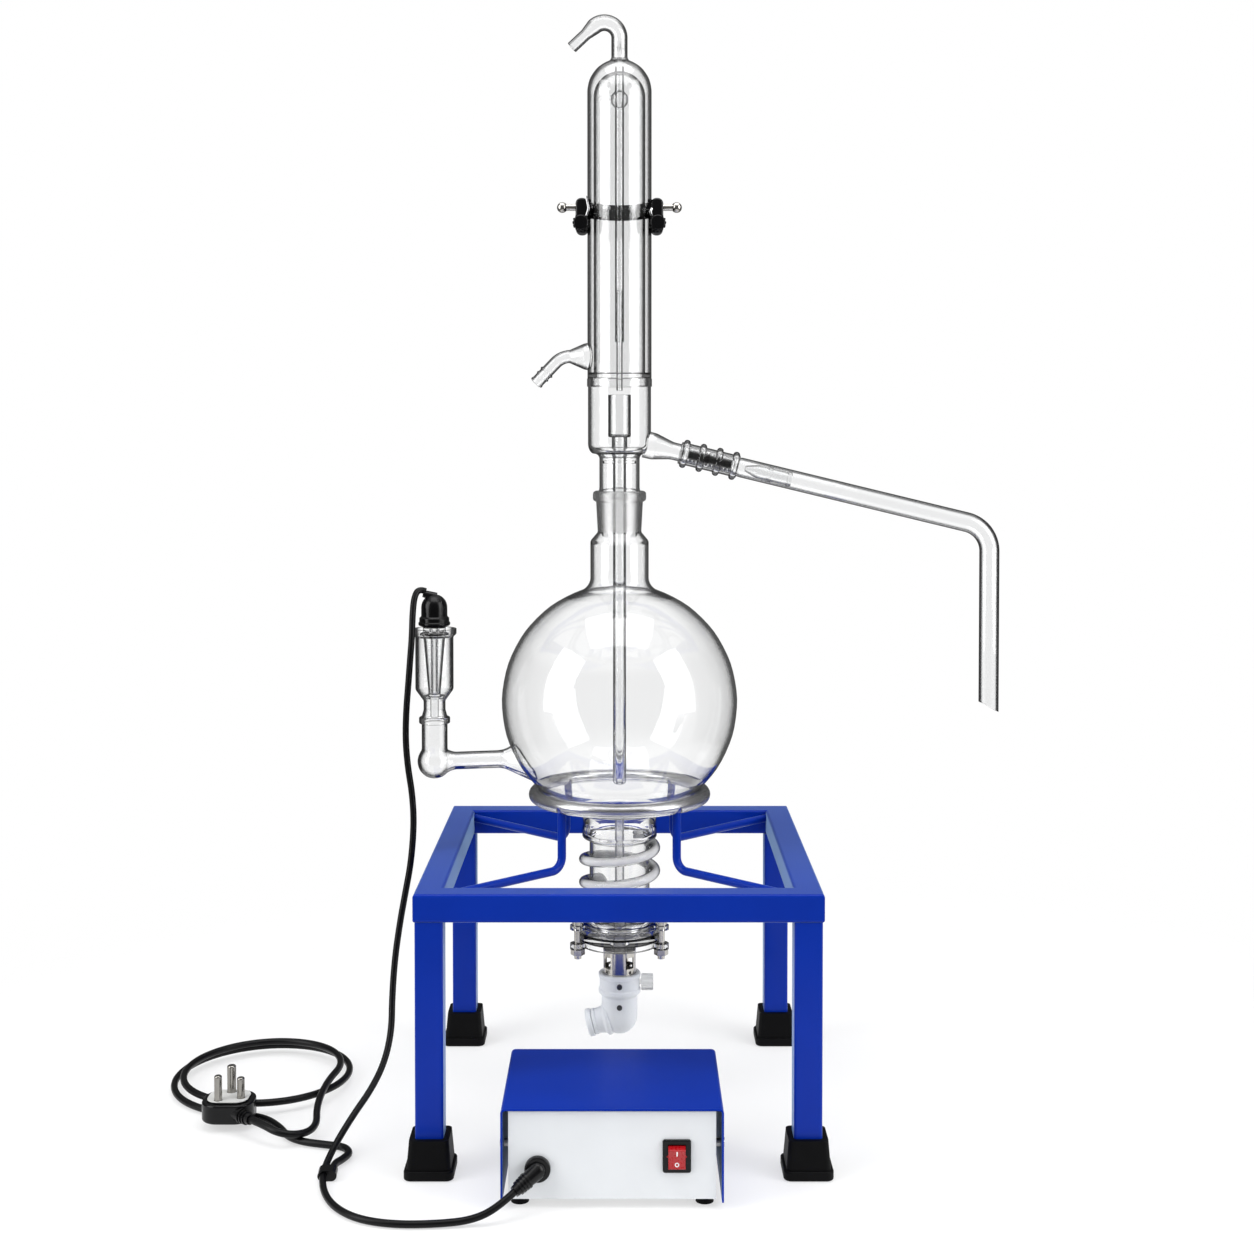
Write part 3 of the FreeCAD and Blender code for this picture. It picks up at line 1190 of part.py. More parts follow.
def adapter_sleeve():
    """The sleeve between the closure and the valve, with a lid, four windows and a hole below each."""
    inside = ADAPTER_R - ADAPTER_WALL
    sleeve = turned(rounded([
        (DRAIN_R + RUN_GAP, ADAPTER_TOP - ADAPTER_LID, 0), (inside, ADAPTER_TOP - ADAPTER_LID, 0),
        (inside, ADAPTER_BOTTOM, 0), (ADAPTER_R, ADAPTER_BOTTOM, 0), (ADAPTER_R, ADAPTER_TOP, GLASS_ROUND / 2),
        (DRAIN_R + RUN_GAP, ADAPTER_TOP, 0)]))
    window = Part.makeBox(2 * ADAPTER_R, WINDOW_WIDTH, WINDOW_HEIGHT,
                          Vector(ADAPTER_R / 2, -WINDOW_WIDTH / 2, WINDOW_LOW))
    port = Part.makeCylinder(PORT_R, 2 * ADAPTER_R, Vector(ADAPTER_R / 2, 0, PORT_Z), Vector(1, 0, 0))
    cutters = []
    for i in range(WINDOW_COUNT):
        angle = WINDOW_TURN + 360 / WINDOW_COUNT * i
        cutters += [turned_about(window, angle), turned_about(port, angle)]
    return sleeve.cut(cutters)


def fluted(radius, length, edge, flute, count, standing):
    """A short round grip along +Z, with flutes cut in it or ribs standing on it."""
    grip = turned(rounded([(0, 0, 0), (radius, 0, edge), (radius, length, edge), (0, length, 0)]))
    cutters = [Part.makeCylinder(flute, length - 2 * edge if standing else length + 2 * OVER,
                                 polar(360 / count * i, radius, edge if standing else -OVER))
               for i in range(count)]
    return grip.fuse(cutters) if standing else grip.cut(cutters)


def drain_valve():
    """The drain valve: body with a slanted spout, cap, knob with its spindle, and screws."""
    tilt = math.radians(SPOUT_DROP)
    line = Vector(-math.cos(tilt), 0, -math.sin(tilt))
    centre = Vector(0, 0, VALVE_BALL_Z)
    mouth = centre + line * SPOUT_LENGTH
    column = turned(rounded([
        (0, VALVE_BALL_Z, 0), (VALVE_R, VALVE_BALL_Z, 0), (VALVE_R, COLLAR_BOTTOM, 0),
        (COLLAR_R, COLLAR_BOTTOM, COLLAR_ROUND), (COLLAR_R, COLLAR_TOP, COLLAR_ROUND), (0, COLLAR_TOP, 0)]))
    ball = Part.makeSphere(VALVE_BALL_R, centre)
    spout = Part.makeCone(SPOUT_ROOT_R, SPOUT_R, SPOUT_LENGTH, centre, line)
    bores = [rod(VALVE_BORE_R, centre, UP * (COLLAR_TOP + OVER)), rod(SPOUT_BORE_R, centre, mouth + line * OVER),
             Part.makeSphere(SPOUT_BORE_R, centre),
             rod(ADAPTER_R + RUN_GAP, UP * ADAPTER_BOTTOM, UP * (COLLAR_TOP + OVER))]
    across = Vector(1, 0, 0)
    spindle_in = Vector(KNOB_START - SPINDLE_DEPTH, 0, KNOB_Z)
    bores.append(rod(SPINDLE_R + RUN_GAP, spindle_in - across * RUN_GAP, spindle_in + across * KNOB_START))
    screws = []
    for z, radius in zip(VALVE_SCREW_ZS, (COLLAR_R, VALVE_R)):
        seat = Vector(0, -radius, z)
        head = rod(VALVE_SCREW_R, seat - Vector(0, VALVE_SCREW_STAND, 0), seat + Vector(0, VALVE_SCREW_STAND, 0))
        shank = rod(VALVE_SCREW_SHANK_R, seat, seat + Vector(0, VALVE_SCREW_DEPTH, 0))
        screws.append(head.fuse(shank))
        bores += [rod(VALVE_SCREW_R + RUN_GAP, seat - Vector(0, 2 * OVER, 0), seat + Vector(0, VALVE_SCREW_STAND, 0)),
                  rod(VALVE_SCREW_SHANK_R + RUN_GAP, seat, seat + Vector(0, VALVE_SCREW_DEPTH + RUN_GAP, 0))]
    for way in (-1, 1):
        screws.append(turned(rounded([
            (0, ADAPTER_TOP, 0), (FITTING_R, ADAPTER_TOP, 0), (FITTING_R, ADAPTER_TOP + FITTING_HEIGHT, FITTING_R / 2),
            (0, ADAPTER_TOP + FITTING_HEIGHT, 0)]), x=way * FITTING_OUT))
    body = column.fuse([ball, spout]).cut(bores)
    plug = SPOUT_BORE_R - RUN_GAP
    cap = placed(turned(rounded([
        (0, -DRAIN_CAP_PLUG, 0), (plug, -DRAIN_CAP_PLUG, 0), (plug, 0, 0), (DRAIN_CAP_R, 0, 0),
        (DRAIN_CAP_R, DRAIN_CAP_THICK, DRAIN_CAP_ROUND), (0, DRAIN_CAP_THICK, 0)])), mouth, line)
    knob = placed(fluted(KNOB_R, KNOB_LENGTH, KNOB_ROUND, KNOB_FLUTE_R, KNOB_FLUTES, False),
                  Vector(KNOB_START, 0, KNOB_Z), across)
    knob = knob.fuse(rod(SPINDLE_R, spindle_in, Vector(KNOB_START + KNOB_ROUND, 0, KNOB_Z)))
    return {"drain_valve_body": body, "drain_cap": cap, "drain_knob": knob, "valve_screws": Part.makeCompound(screws)}


def condenser_clamp():
    """The sprung band round the condenser, its two jaws, and the rods and grips that turn in them."""
    inner = JACKET_R + 3 * RUN_GAP
    low = BAND_Z - BAND_HEIGHT / 2
    band = Part.makeCylinder(inner + BAND_THICK, BAND_HEIGHT, UP * low)
    jaw = along_y(block(JAW_WIDTH, JAW_TOP - JAW_BOTTOM, JAW_ROUND, JAW_X + JAW_WIDTH / 2,
                        (JAW_TOP + JAW_BOTTOM) / 2), JAW_FRONT, JAW_FRONT + JAW_DEPTH)
    rims = [e for e in jaw.Edges if e.BoundBox.YLength < TINY]
    jaw = jaw.makeFillet(JAW_EDGE, rims)
    half = BAND_FREE_ANGLE / 2
    reach = 4 * JACKET_R
    left_ray, right_ray = polar(-90 - half, reach), polar(-90 + half, reach)
    wedge = slab([(0, 0, None), (left_ray.x, left_ray.y, None), (0, -2 * reach, None),
                  (right_ray.x, right_ray.y, None)], low - OVER, low + BAND_HEIGHT + OVER)
    jaws = [jaw, jaw.mirror(Vector(), Vector(1, 0, 0))]
    band = band.cut(wedge).fuse(jaws).cut(Part.makeCylinder(inner, JACKET_DOME_Z, Vector()))
    pieces = {}
    jaw_out = JAW_X + JAW_WIDTH
    for side, way in (("left", -1), ("right", 1)):
        across = Vector(way, 0, 0)
        seat = Vector(way * jaw_out, HANDLE_Y, HANDLE_Z)
        start = seat - across * HANDLE_DEPTH
        reach = BALL_END_X - jaw_out
        tail = math.sqrt(BALL_END_R ** 2 - HANDLE_R ** 2)
        handle = turned([
            (0, -HANDLE_DEPTH, None), (HANDLE_SHANK_R, -HANDLE_DEPTH, None), (HANDLE_SHANK_R, 0, None),
            (HANDLE_R, 0, None), (HANDLE_R, reach - tail, None), (0, reach + BALL_END_R, (BALL_END_R, reach))])
        pieces[side + "_clamp_rod"] = placed(handle, seat, across)
        front = Vector(way * GRIP_X, JAW_FRONT, GRIP_Z)
        grip = placed(fluted(GRIP_R, GRIP_LENGTH, GRIP_ROUND, GRIP_RIB_R, GRIP_RIBS, True), front, Vector(0, -1, 0))
        inward = Vector(0, GRIP_SHANK_DEPTH, 0)
        grip = grip.fuse(rod(GRIP_SHANK_R, front + inward, front - Vector(0, GRIP_ROUND, 0)))
        pieces[side + "_clamp_knob"] = grip
        gap = across * RUN_GAP
        band = band.cut([rod(HANDLE_SHANK_R + RUN_GAP, start - gap, seat + across * OVER),
                         rod(GRIP_SHANK_R + RUN_GAP, front + inward + Vector(0, RUN_GAP, 0),
                             front - Vector(0, OVER, 0))])
    pieces["clamp_band"] = band.removeSplitter()
    return pieces


def along_y(nodes, low, high):
    """An outline in the XZ plane as a bar between two depths."""
    solid = Part.Face(outline(nodes)).extrude(Vector(0, high - low, 0))
    solid.translate(Vector(0, low, 0))
    return solid


def block(width, height, corner, centre_x, centre_z):
    """Outline nodes of a rounded rectangle round a point of the front plane."""
    nodes = []
    for u, v, middle in rectangle(width, height, corner):
        arc = None if middle is None else (middle[0] + centre_x, middle[1] + centre_z)
        nodes.append((u + centre_x, v + centre_z, arc))
    return nodes


def control_box():
    """The control box: folded cover, chassis tray, recessed panel, feet, side screws and the board inside."""
    half = BOX_WIDTH / 2
    back = BOX_FRONT + BOX_DEPTH
    inner = half - BOX_SHEET
    shell = []
    for side, top, bend, low in ((half, BOX_TOP, BOX_BEND, BOX_SKIRT_Z),
                                 (inner, BOX_TOP - BOX_SHEET, BOX_BEND - BOX_SHEET, BOX_SKIRT_Z - OVER)):
        shell.append(rounded([(BOX_X - side, low, 0), (BOX_X + side, low, 0), (BOX_X + side, top, bend),
                              (BOX_X - side, top, bend)]))
    cover = along_y(shell[0], BOX_FRONT, back).cut(along_y(shell[1], BOX_FRONT - OVER, back + OVER))
    panel_front = BOX_FRONT + PANEL_RECESS
    panel_back = panel_front + PANEL_THICK
    tray_back = back - CHASSIS_BACK_IN
    wide = CHASSIS_WIDTH / 2
    top = BOX_FLOOR_Z + CHASSIS_SIDE
    tray = Part.makeBox(2 * wide, tray_back - panel_back, top - BOX_FLOOR_Z,
                        Vector(BOX_X - wide, panel_back, BOX_FLOOR_Z))
    room = Part.makeBox(2 * (wide - BOX_SHEET), tray_back - BOX_SHEET - panel_back + OVER, top,
                        Vector(BOX_X - wide + BOX_SHEET, panel_back - OVER, BOX_FLOOR_Z + BOX_SHEET))
    wall = Part.makeBox(2 * wide, BOX_SHEET, PANEL_TOP - BOX_FLOOR_Z,
                        Vector(BOX_X - wide, tray_back - BOX_SHEET, BOX_FLOOR_Z))
    tray = tray.cut(room).fuse(wall)
    screws = []
    for way in (-1, 1):
        across = Vector(way, 0, 0)
        for y in (BOX_FRONT + BOX_SCREW_IN_Y, back - BOX_SCREW_IN_Y):
            skin = Vector(BOX_X + way * half, y, BOX_SCREW_Z)
            inside = Vector(BOX_X + way * wide, y, BOX_SCREW_Z)
            head = turned(rounded([(0, 0, 0), (BOX_SCREW_R, 0, 0), (BOX_SCREW_R, BOX_SCREW_STAND, BOX_SCREW_STAND / 2),
                                   (0, BOX_SCREW_STAND, 0)]))
            deep = inside - across * (2 * BOX_SHEET)
            screws.append(placed(head, skin, across).fuse(rod(BOX_SCREW_SHANK_R, deep, skin)))
            hole = rod(BOX_SCREW_SHANK_R + RUN_GAP, deep - across * OVER, skin + across * OVER)
            spacer = rod(SPACER_R, inside - across * BOX_SHEET, Vector(BOX_X + way * inner, y, BOX_SCREW_Z))
            tray = tray.fuse(spacer).cut(hole)
            cover = cover.cut(hole)
    feet = []
    for way in (-1, 1):
        for y in (BOX_FRONT + BOX_FOOT_IN_Y, back - BOX_FOOT_IN_Y):
            feet.append(Part.makeCone(BOX_FOOT_R, BOX_FOOT_TOP_R, BOX_FLOOR_Z,
                                      Vector(BOX_X + way * (half - BOX_FOOT_IN_X), y, 0)))
    panel = along_y(block(PANEL_WIDTH, PANEL_TOP - BOX_FLOOR_Z, RUN_GAP, BOX_X, (PANEL_TOP + BOX_FLOOR_Z) / 2),
                    panel_front, panel_back)
    switch = rocker_switch(panel_front)
    gland, gland_hole = cable_gland(panel_front)
    side = 2 * SWITCH_BODY_SIDE
    opening = along_y(block(BEZEL_WIDTH - side + 2 * RUN_GAP, BEZEL_HEIGHT - side + 2 * RUN_GAP, BEZEL_ROUND,
                            SWITCH_X, SWITCH_Z), panel_front - OVER, panel_back + OVER)
    return {"box_cover": cover, "box_chassis": tray.removeSplitter(), "front_panel": panel.cut([opening, gland_hole]),
            "box_feet": Part.makeCompound(feet), "cover_screws": Part.makeCompound(screws),
            "cable_gland": gland, "control_board": control_board(), **switch}


def rocker_switch(panel_front):
    """The rocker switch: a bezel with a body behind it, and the rocker that tips in its pocket."""
    face = panel_front - BEZEL_STAND
    side = 2 * SWITCH_BODY_SIDE
    frame = along_y(block(BEZEL_WIDTH, BEZEL_HEIGHT, 2 * BEZEL_ROUND, SWITCH_X, SWITCH_Z), face, panel_front)
    rims = [e for e in frame.Edges if e.BoundBox.YLength < TINY and e.BoundBox.YMin < face + TINY]
    frame = frame.makeFillet(BEZEL_ROUND, rims)
    body = along_y(block(BEZEL_WIDTH - side, BEZEL_HEIGHT - side, BEZEL_ROUND, SWITCH_X, SWITCH_Z), panel_front,
                   panel_front + SWITCH_BODY_DEPTH)
    pocket = along_y(block(ROCKER_WIDTH + 2 * ROCKER_SIDE_GAP, ROCKER_HEIGHT + 2 * ROCKER_END_GAP, RUN_GAP,
                           SWITCH_X, SWITCH_Z), face - OVER, face + SWITCH_POCKET_DEPTH)
    pivot = Vector(SWITCH_X, face + ROCKER_PIVOT_IN, SWITCH_Z)
    pin_half = Vector(ROCKER_WIDTH / 2 + ROCKER_PIN_REACH, 0, 0)
    pin = rod(ROCKER_PIN_R, pivot - pin_half, pivot + pin_half)
    slack = Vector(RUN_GAP, 0, 0)
    seat = rod(ROCKER_PIN_R + RUN_GAP, pivot - pin_half - slack, pivot + pin_half + slack)
    end = ROCKER_HEIGHT / 2
    profile = Part.Wire([
        Part.LineSegment(Vector(0, ROCKER_BACK, -end), Vector(0, -ROCKER_STAND, -end)).toShape(),
        Part.Arc(Vector(0, -ROCKER_STAND, -end), Vector(0, -ROCKER_VALLEY, 0), Vector(0, -ROCKER_STAND, end)).toShape(),
        Part.LineSegment(Vector(0, -ROCKER_STAND, end), Vector(0, ROCKER_BACK, end)).toShape(),
        Part.LineSegment(Vector(0, ROCKER_BACK, end), Vector(0, ROCKER_BACK, -end)).toShape()])
    rocker = Part.Face(profile).extrude(Vector(ROCKER_WIDTH, 0, 0))
    rocker.translate(Vector(SWITCH_X - ROCKER_WIDTH / 2, face, SWITCH_Z))
    rocker = rocker.makeFillet(ROCKER_ROUND, [e for e in rocker.Edges if e.BoundBox.YMax < face - TINY])
    rocker = turned_about(rocker.fuse(pin), ROCKER_TILT, Vector(1, 0, 0), pivot)
    return {"switch_bezel": frame.fuse(body).cut([pocket, seat]), "switch_rocker": rocker}


def gland_line():
    """The root, the end and the direction of the boot on the control box's cable gland."""
    root = Vector(GLAND_X, BOX_FRONT + PANEL_RECESS - GLAND_STAND, GLAND_Z)
    line = unit(Vector(*GLAND_BOOT_SHARES))
    return root, root + line * GLAND_BOOT_LENGTH, line


def cable_gland(panel_front):
    """The cable gland with its nut behind the panel and its slanted ribbed boot, and the hole for it."""
    panel_back = panel_front + PANEL_THICK
    root, end, line = gland_line()
    back = Vector(0, 1, 0)
    disc = placed(turned(rounded([(0, 0, 0), (GLAND_R, 0, 0), (GLAND_R, GLAND_STAND, GLAND_ROUND),
                                  (0, GLAND_STAND, 0)])), Vector(GLAND_X, panel_front, GLAND_Z), Vector(0, -1, 0))
    nut_end = Vector(GLAND_X, panel_back + 2 * GLAND_NUT_THICK, GLAND_Z)
    shank = rod(GLAND_SHANK_R, Vector(GLAND_X, panel_front, GLAND_Z), nut_end)
    nut = placed(hexagon(GLAND_NUT_FLATS, 0, GLAND_NUT_THICK), Vector(GLAND_X, panel_back, GLAND_Z), back)
    boot = Part.makeCone(GLAND_BOOT_R, GLAND_BOOT_END_R, GLAND_BOOT_LENGTH, root, line)
    ribs = ribbed(root, line, GLAND_BOOT_LENGTH, GLAND_BOOT_R, GLAND_BOOT_END_R, GLAND_RIB_COUNT, GLAND_RIB_HALF,
                  GLAND_RIB_STAND, GLAND_BOOT_LENGTH * CORD_SHARE)
    gland = disc.fuse([shank, nut, boot, Part.makeSphere(GLAND_BOOT_R, root + back * GLAND_ROUND), *ribs])
    hole = rod(GLAND_SHANK_R + RUN_GAP, Vector(GLAND_X, panel_front - OVER, GLAND_Z),
               Vector(GLAND_X, panel_back + OVER, GLAND_Z))
    return gland, hole


def ribbed(root, line, length, start_r, end_r, count, rib_half, stand, first):
    """The ribs of a tapered boot, evenly spaced from a first distance to near its end."""
    ribs = []
    step = (length - first - rib_half * 2) / count
    for i in range(count):
        at = first + step * i
        radius = start_r + (end_r - start_r) * at / length + stand
        ribs.append(rod(radius, root + line * at, root + line * (at + rib_half)))
    return ribs


def control_board():
    """The circuit board on its standoffs, with relays, a chip and the terminal block fixed to it."""
    deck_z = BOX_FLOOR_Z + BOX_SHEET + BOARD_STANDOFF
    centre_y = BOX_FRONT + BOX_DEPTH / 2
    deck = Part.makeBox(BOARD_WIDTH, BOARD_DEPTH, BOARD_THICK,
                        Vector(BOX_X - BOARD_WIDTH / 2, centre_y - BOARD_DEPTH / 2, deck_z))
    top = deck_z + BOARD_THICK
    parts = []
    for along in (-1, 1):
        for way in (-1, 1):
            parts.append(Part.makeCylinder(STANDOFF_R, BOARD_STANDOFF, Vector(
                BOX_X + way * (BOARD_WIDTH / 2 - BOARD_INSET), centre_y + along * (BOARD_DEPTH / 2 - BOARD_INSET),
                deck_z - BOARD_STANDOFF)))
    for x, y, wide, deep, tall in RELAY_SIZES:
        parts.append(Part.makeBox(wide, deep, tall, Vector(BOX_X + x - wide / 2, centre_y + y - deep / 2, top)))
    wide, deep, tall = CHIP_SIZE
    parts.append(Part.makeBox(wide, deep, tall, Vector(BOX_X - wide / 2, centre_y - deep, top)))
    terminal_y = centre_y - BOARD_DEPTH / 2 + TERMINAL_DEPTH
    terminal = Part.makeBox(TERMINAL_WIDTH, TERMINAL_DEPTH, TERMINAL_HEIGHT,
                            Vector(BOX_X - TERMINAL_WIDTH / 2, terminal_y - TERMINAL_DEPTH / 2, top))
    way_step = TERMINAL_WIDTH / TERMINAL_WAYS
    wells = [Part.makeCylinder(TERMINAL_WAY_R, TERMINAL_WAY_DEPTH + OVER, Vector(
        BOX_X - TERMINAL_WIDTH / 2 + way_step * (i + HALF_SHARE), terminal_y,
        top + TERMINAL_HEIGHT - TERMINAL_WAY_DEPTH)) for i in range(TERMINAL_WAYS)]
    return deck.fuse([*parts, terminal.cut(wells)])


def leads():
    """The probe lead, its splitter, the mains lead with its coil, and the plug with its boot and pins."""
    _, gland_end, gland_way = gland_line()
    _, cap_end, cap_way = cap_boss()
    probe = [gland_end, gland_end + gland_way * LEAD_FIRST_RUN, *[Vector(*p) for p in PROBE_ROUTE],
             cap_end + cap_way * PROBE_LAST_RUN, cap_end]
    pieces = {"probe_lead": cord("probe_lead", probe, LEAD_R)}
    spot, way = Vector(*SPLITTER_AT), unit(Vector(*SPLITTER_SHARES))
    back, front = spot - way * SPLITTER_HALF, spot + way * SPLITTER_HALF
    over = unit(way.cross(UP)) * MAINS_FROM_LEAD
    bore = LEAD_R + SPLITTER_BORE_GAP
    shell = [rod(bore + SPLITTER_WALL, back, front), rod(bore + SPLITTER_WALL, back + over, front + over)]
    lift = unit(over.cross(way)) * (bore + SPLITTER_WALL)
    flat = Part.Face(Part.makePolygon([back + lift, back + over + lift, back + over - lift, back - lift,
                                       back + lift])).extrude(front - back)
    pieces["lead_splitter"] = shell[0].fuse([shell[1], flat]).cut(rod(bore, back - way * OVER, front + way * OVER))
    centre = Vector(COIL_X, COIL_Y, 0)
    corners = [p + centre for p in helix_corners(COIL_LOOP_R, COIL_Z, COIL_CLIMB, COIL_DRIFT, COIL_START,
                                                 COIL_EIGHTHS, -1)]
    lean = math.pi / EIGHTHS
    start_spot = polar(COIL_START, COIL_LOOP_R, COIL_Z) + centre
    start_way = unit(corners[0] - start_spot)
    coil_start = start_spot - start_way * (2 * MAINS_R)
    turns = COIL_EIGHTHS / EIGHTHS
    end_angle = COIL_START - 360 * turns
    end_r = COIL_LOOP_R - COIL_DRIFT * turns
    end_spot = polar(end_angle, end_r, COIL_Z + COIL_CLIMB * turns) + centre
    end_way = unit(end_spot - corners[-1])
    coil_end = end_spot + end_way * (2 * MAINS_R)
    first_reach = (start_spot - corners[0]).Length
    last_reach = (end_spot - corners[-1]).Length
    pieces["mains_coil"] = coil_rod([coil_start, *corners, coil_end], MAINS_R, first_reach, last_reach)
    gap = least_coil_gap(COIL_LOOP_R, COIL_Z, COIL_CLIMB, COIL_DRIFT, MAINS_R, turns)
    print("mains_coil least gap to itself", round(gap, 2), "first arc radius", round(first_reach / math.tan(lean), 1))
    mains = [front + over, front + over + way * MAINS_FIRST_RUN, *[Vector(*p) for p in MAINS_ROUTE],
             coil_start - start_way * COIL_LEAD_RUN, coil_start]
    pieces["mains_lead"] = cord("mains_lead", mains, MAINS_R)
    boot_way = polar(BOOT_ANGLE, 1)
    boot_root = Vector(BOOT_ROOT_X, BOOT_ROOT_Y, BOOT_Z)
    boot_end = boot_root + boot_way * BOOT_LENGTH
    tail = [coil_end, coil_end + end_way * COIL_END_RUN, *[Vector(*p) for p in PLUG_ROUTE],
            boot_end + boot_way * PLUG_LAST_RUN, boot_end]
    pieces["mains_lead_end"] = cord("mains_lead_end", tail, MAINS_R)
    for name, points in (("probe_lead", probe), ("mains_lead", mains), ("mains_lead_end", tail),
                         ("mains_coil", [coil_start, *corners, coil_end])):
        print(name, "route", [[round(v, 2) for v in p] for p in points])
    pieces.update(plug(boot_root, boot_end, boot_way))
    return pieces


def plug(boot_root, boot_end, boot_way):
    """The plug: rounded body with a raised face, three round pins and the ribbed boot at its front."""
    spot = Vector(PLUG_X, PLUG_Y, 0)
    body = slab(rectangle(PLUG_WIDTH, PLUG_DEPTH, PLUG_CORNER), 0, PLUG_HEIGHT)
    body = body.makeFillet(PLUG_ROUND, [e for e in body.Edges if e.BoundBox.ZLength < TINY])
    face = slab(rectangle(PLUG_WIDTH - 2 * FACE_INSET, PLUG_DEPTH - 2 * FACE_INSET, FACE_CORNER),
                PLUG_HEIGHT - OVER, PLUG_HEIGHT + FACE_THICK)
    body = body.fuse(face)
    body.translate(spot + UP * PLUG_BASE)
    pins = []
    holes = []
    top = PLUG_BASE + PLUG_HEIGHT + FACE_THICK
    for (x, y), radius, length in ((EARTH_AT, EARTH_R, EARTH_LENGTH), (NEUTRAL_AT, PIN_R, NEUTRAL_LENGTH),
                                   (LINE_AT, PIN_R, LINE_LENGTH)):
        pin = turned(rounded([(0, top - PIN_SUNK, 0), (radius, top - PIN_SUNK, 0), (radius, top + length, PIN_ROUND),
                              (0, top + length, 0)]), x=PLUG_X + x, y=PLUG_Y + y)
        pins.append(pin)
        holes.append(rod(radius + RUN_GAP, spot + Vector(x, y, top - PIN_SUNK), spot + Vector(x, y, top + OVER)))
    boot = Part.makeCone(BOOT_ROOT_R, BOOT_END_R, BOOT_LENGTH, boot_root, boot_way)
    boot = boot.fuse(ribbed(boot_root, boot_way, BOOT_LENGTH, BOOT_ROOT_R, BOOT_END_R, BOOT_RIB_COUNT, BOOT_RIB_HALF,
                            BOOT_RIB_STAND, BOOT_RIB_FIRST))
    return {"plug_body": body.cut(holes), "plug_pins": Part.makeCompound(pins), "plug_boot": boot.cut(body)}


def main():
    """Build every piece, move the part onto its origin and write one file per piece."""
    pieces = {**stand(), **flask_support(), "boiling_flask": flask(), "heater_coil": heater_spiral(),
              "feed_tube": feed_tube(), "vapour_head": vapour_head(), "condenser_jacket": condenser_jacket(),
              **condenser_inside(), **coupling(), **delivery(), **level_probe(), **bottom_closure(),
              **drain_valve(), **condenser_clamp(), **control_box(), **leads()}
    box = FreeCAD.BoundBox()
    for name, shape in pieces.items():
        if name not in CORD_NODES:
            box.add(shape.BoundBox)
    shift = Vector(-box.Center.x, -box.Center.y, -box.ZMin)
    print("moved by", [round(v, 3) for v in shift], "size", [round(v, 2) for v in (
        box.XLength, box.YLength, box.ZLength)])
    os.makedirs("parts", exist_ok=True)
    for name, shape in pieces.items():
        shape.translate(shift)
        shape.exportStep("parts/" + name + ".step")
    print(len(pieces), "pieces")


if __name__ == "__main__":
    main()
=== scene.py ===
import math

import bmesh
import bpy
from bpy.props import FloatProperty, FloatVectorProperty, PointerProperty
from mathutils import Matrix, Vector


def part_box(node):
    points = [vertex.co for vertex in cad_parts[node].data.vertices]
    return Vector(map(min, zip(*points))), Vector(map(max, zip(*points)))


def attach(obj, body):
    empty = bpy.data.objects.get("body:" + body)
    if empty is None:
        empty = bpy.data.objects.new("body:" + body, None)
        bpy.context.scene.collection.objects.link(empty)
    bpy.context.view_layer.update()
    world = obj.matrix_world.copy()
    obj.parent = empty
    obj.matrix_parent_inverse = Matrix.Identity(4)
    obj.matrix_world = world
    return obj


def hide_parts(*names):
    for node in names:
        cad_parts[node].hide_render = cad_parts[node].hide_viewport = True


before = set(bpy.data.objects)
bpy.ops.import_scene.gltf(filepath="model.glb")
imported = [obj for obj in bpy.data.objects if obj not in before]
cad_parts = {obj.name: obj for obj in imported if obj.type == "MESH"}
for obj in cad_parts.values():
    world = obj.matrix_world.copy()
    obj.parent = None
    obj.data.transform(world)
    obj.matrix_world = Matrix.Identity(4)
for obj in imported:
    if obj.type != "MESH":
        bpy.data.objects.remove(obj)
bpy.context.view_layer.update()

bl_info = {
    "name": "Glass Water Distiller",
    "version": (1, 0, 0),
    "blender": (4, 5, 0),
    "location": "View3D > Sidebar > Distiller",
    "description": "Builds the visual model of a glass water distiller over its CAD frame",
    "category": "Object",
}

MM = 0.001
PAPER_SHADE = 0.45
UP = Vector((0, 0, 1))
TUBE_LOW, TUBE_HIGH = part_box("condenser_tube")
AXIS = Vector(((TUBE_LOW.x + TUBE_HIGH.x) / 2, (TUBE_LOW.y + TUBE_HIGH.y) / 2, 0))


# Placing and outlines

def spot(x, y, z):
    """A point measured in millimetres from the column's axis on the floor, in metres."""
    return AXIS + Vector((x, y, z)) * MM


def along(origin, direction):
    """The matrix that stands a shape made round +Z on a point, along a direction."""
    turn = Vector(direction).to_track_quat("Z", "Y").to_matrix().to_4x4()
    return Matrix.Translation(Vector(origin)) @ turn


def piece(name, mesh, body, finish, nodes=(), smooth=35.0, choose=None):
    """The object for a bmesh made in millimetres round the column's axis, riding on its body."""
    if choose:
        for face in mesh.faces:
            face.material_index = choose(face.calc_center_median())
    bmesh.ops.transform(mesh, matrix=Matrix.Translation(AXIS) @ Matrix.Scale(MM, 4), verts=mesh.verts)
    data = bpy.data.meshes.new(name)
    mesh.to_mesh(data)
    mesh.free()
    data.shade_smooth()
    data.set_sharp_from_angle(angle=math.radians(smooth))
    for each in finish if isinstance(finish, (list, tuple)) else [finish]:
        data.materials.append(each)
    made = bpy.data.objects.new(name, data)
    bpy.context.scene.collection.objects.link(made)
    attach(made, body)
    if nodes:
        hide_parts(*nodes)
    return made


def coat(finish, *nodes):
    """Give CAD nodes a finish."""
    for node in nodes:
        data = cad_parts[node].data
        data.materials.clear()
        data.materials.append(finish)


def closed(mesh):
    """Merge a mesh's doubles and turn its faces outwards."""
    bmesh.ops.remove_doubles(mesh, verts=mesh.verts, dist=0.0005)
    bmesh.ops.recalc_face_normals(mesh, faces=mesh.faces)
    return mesh


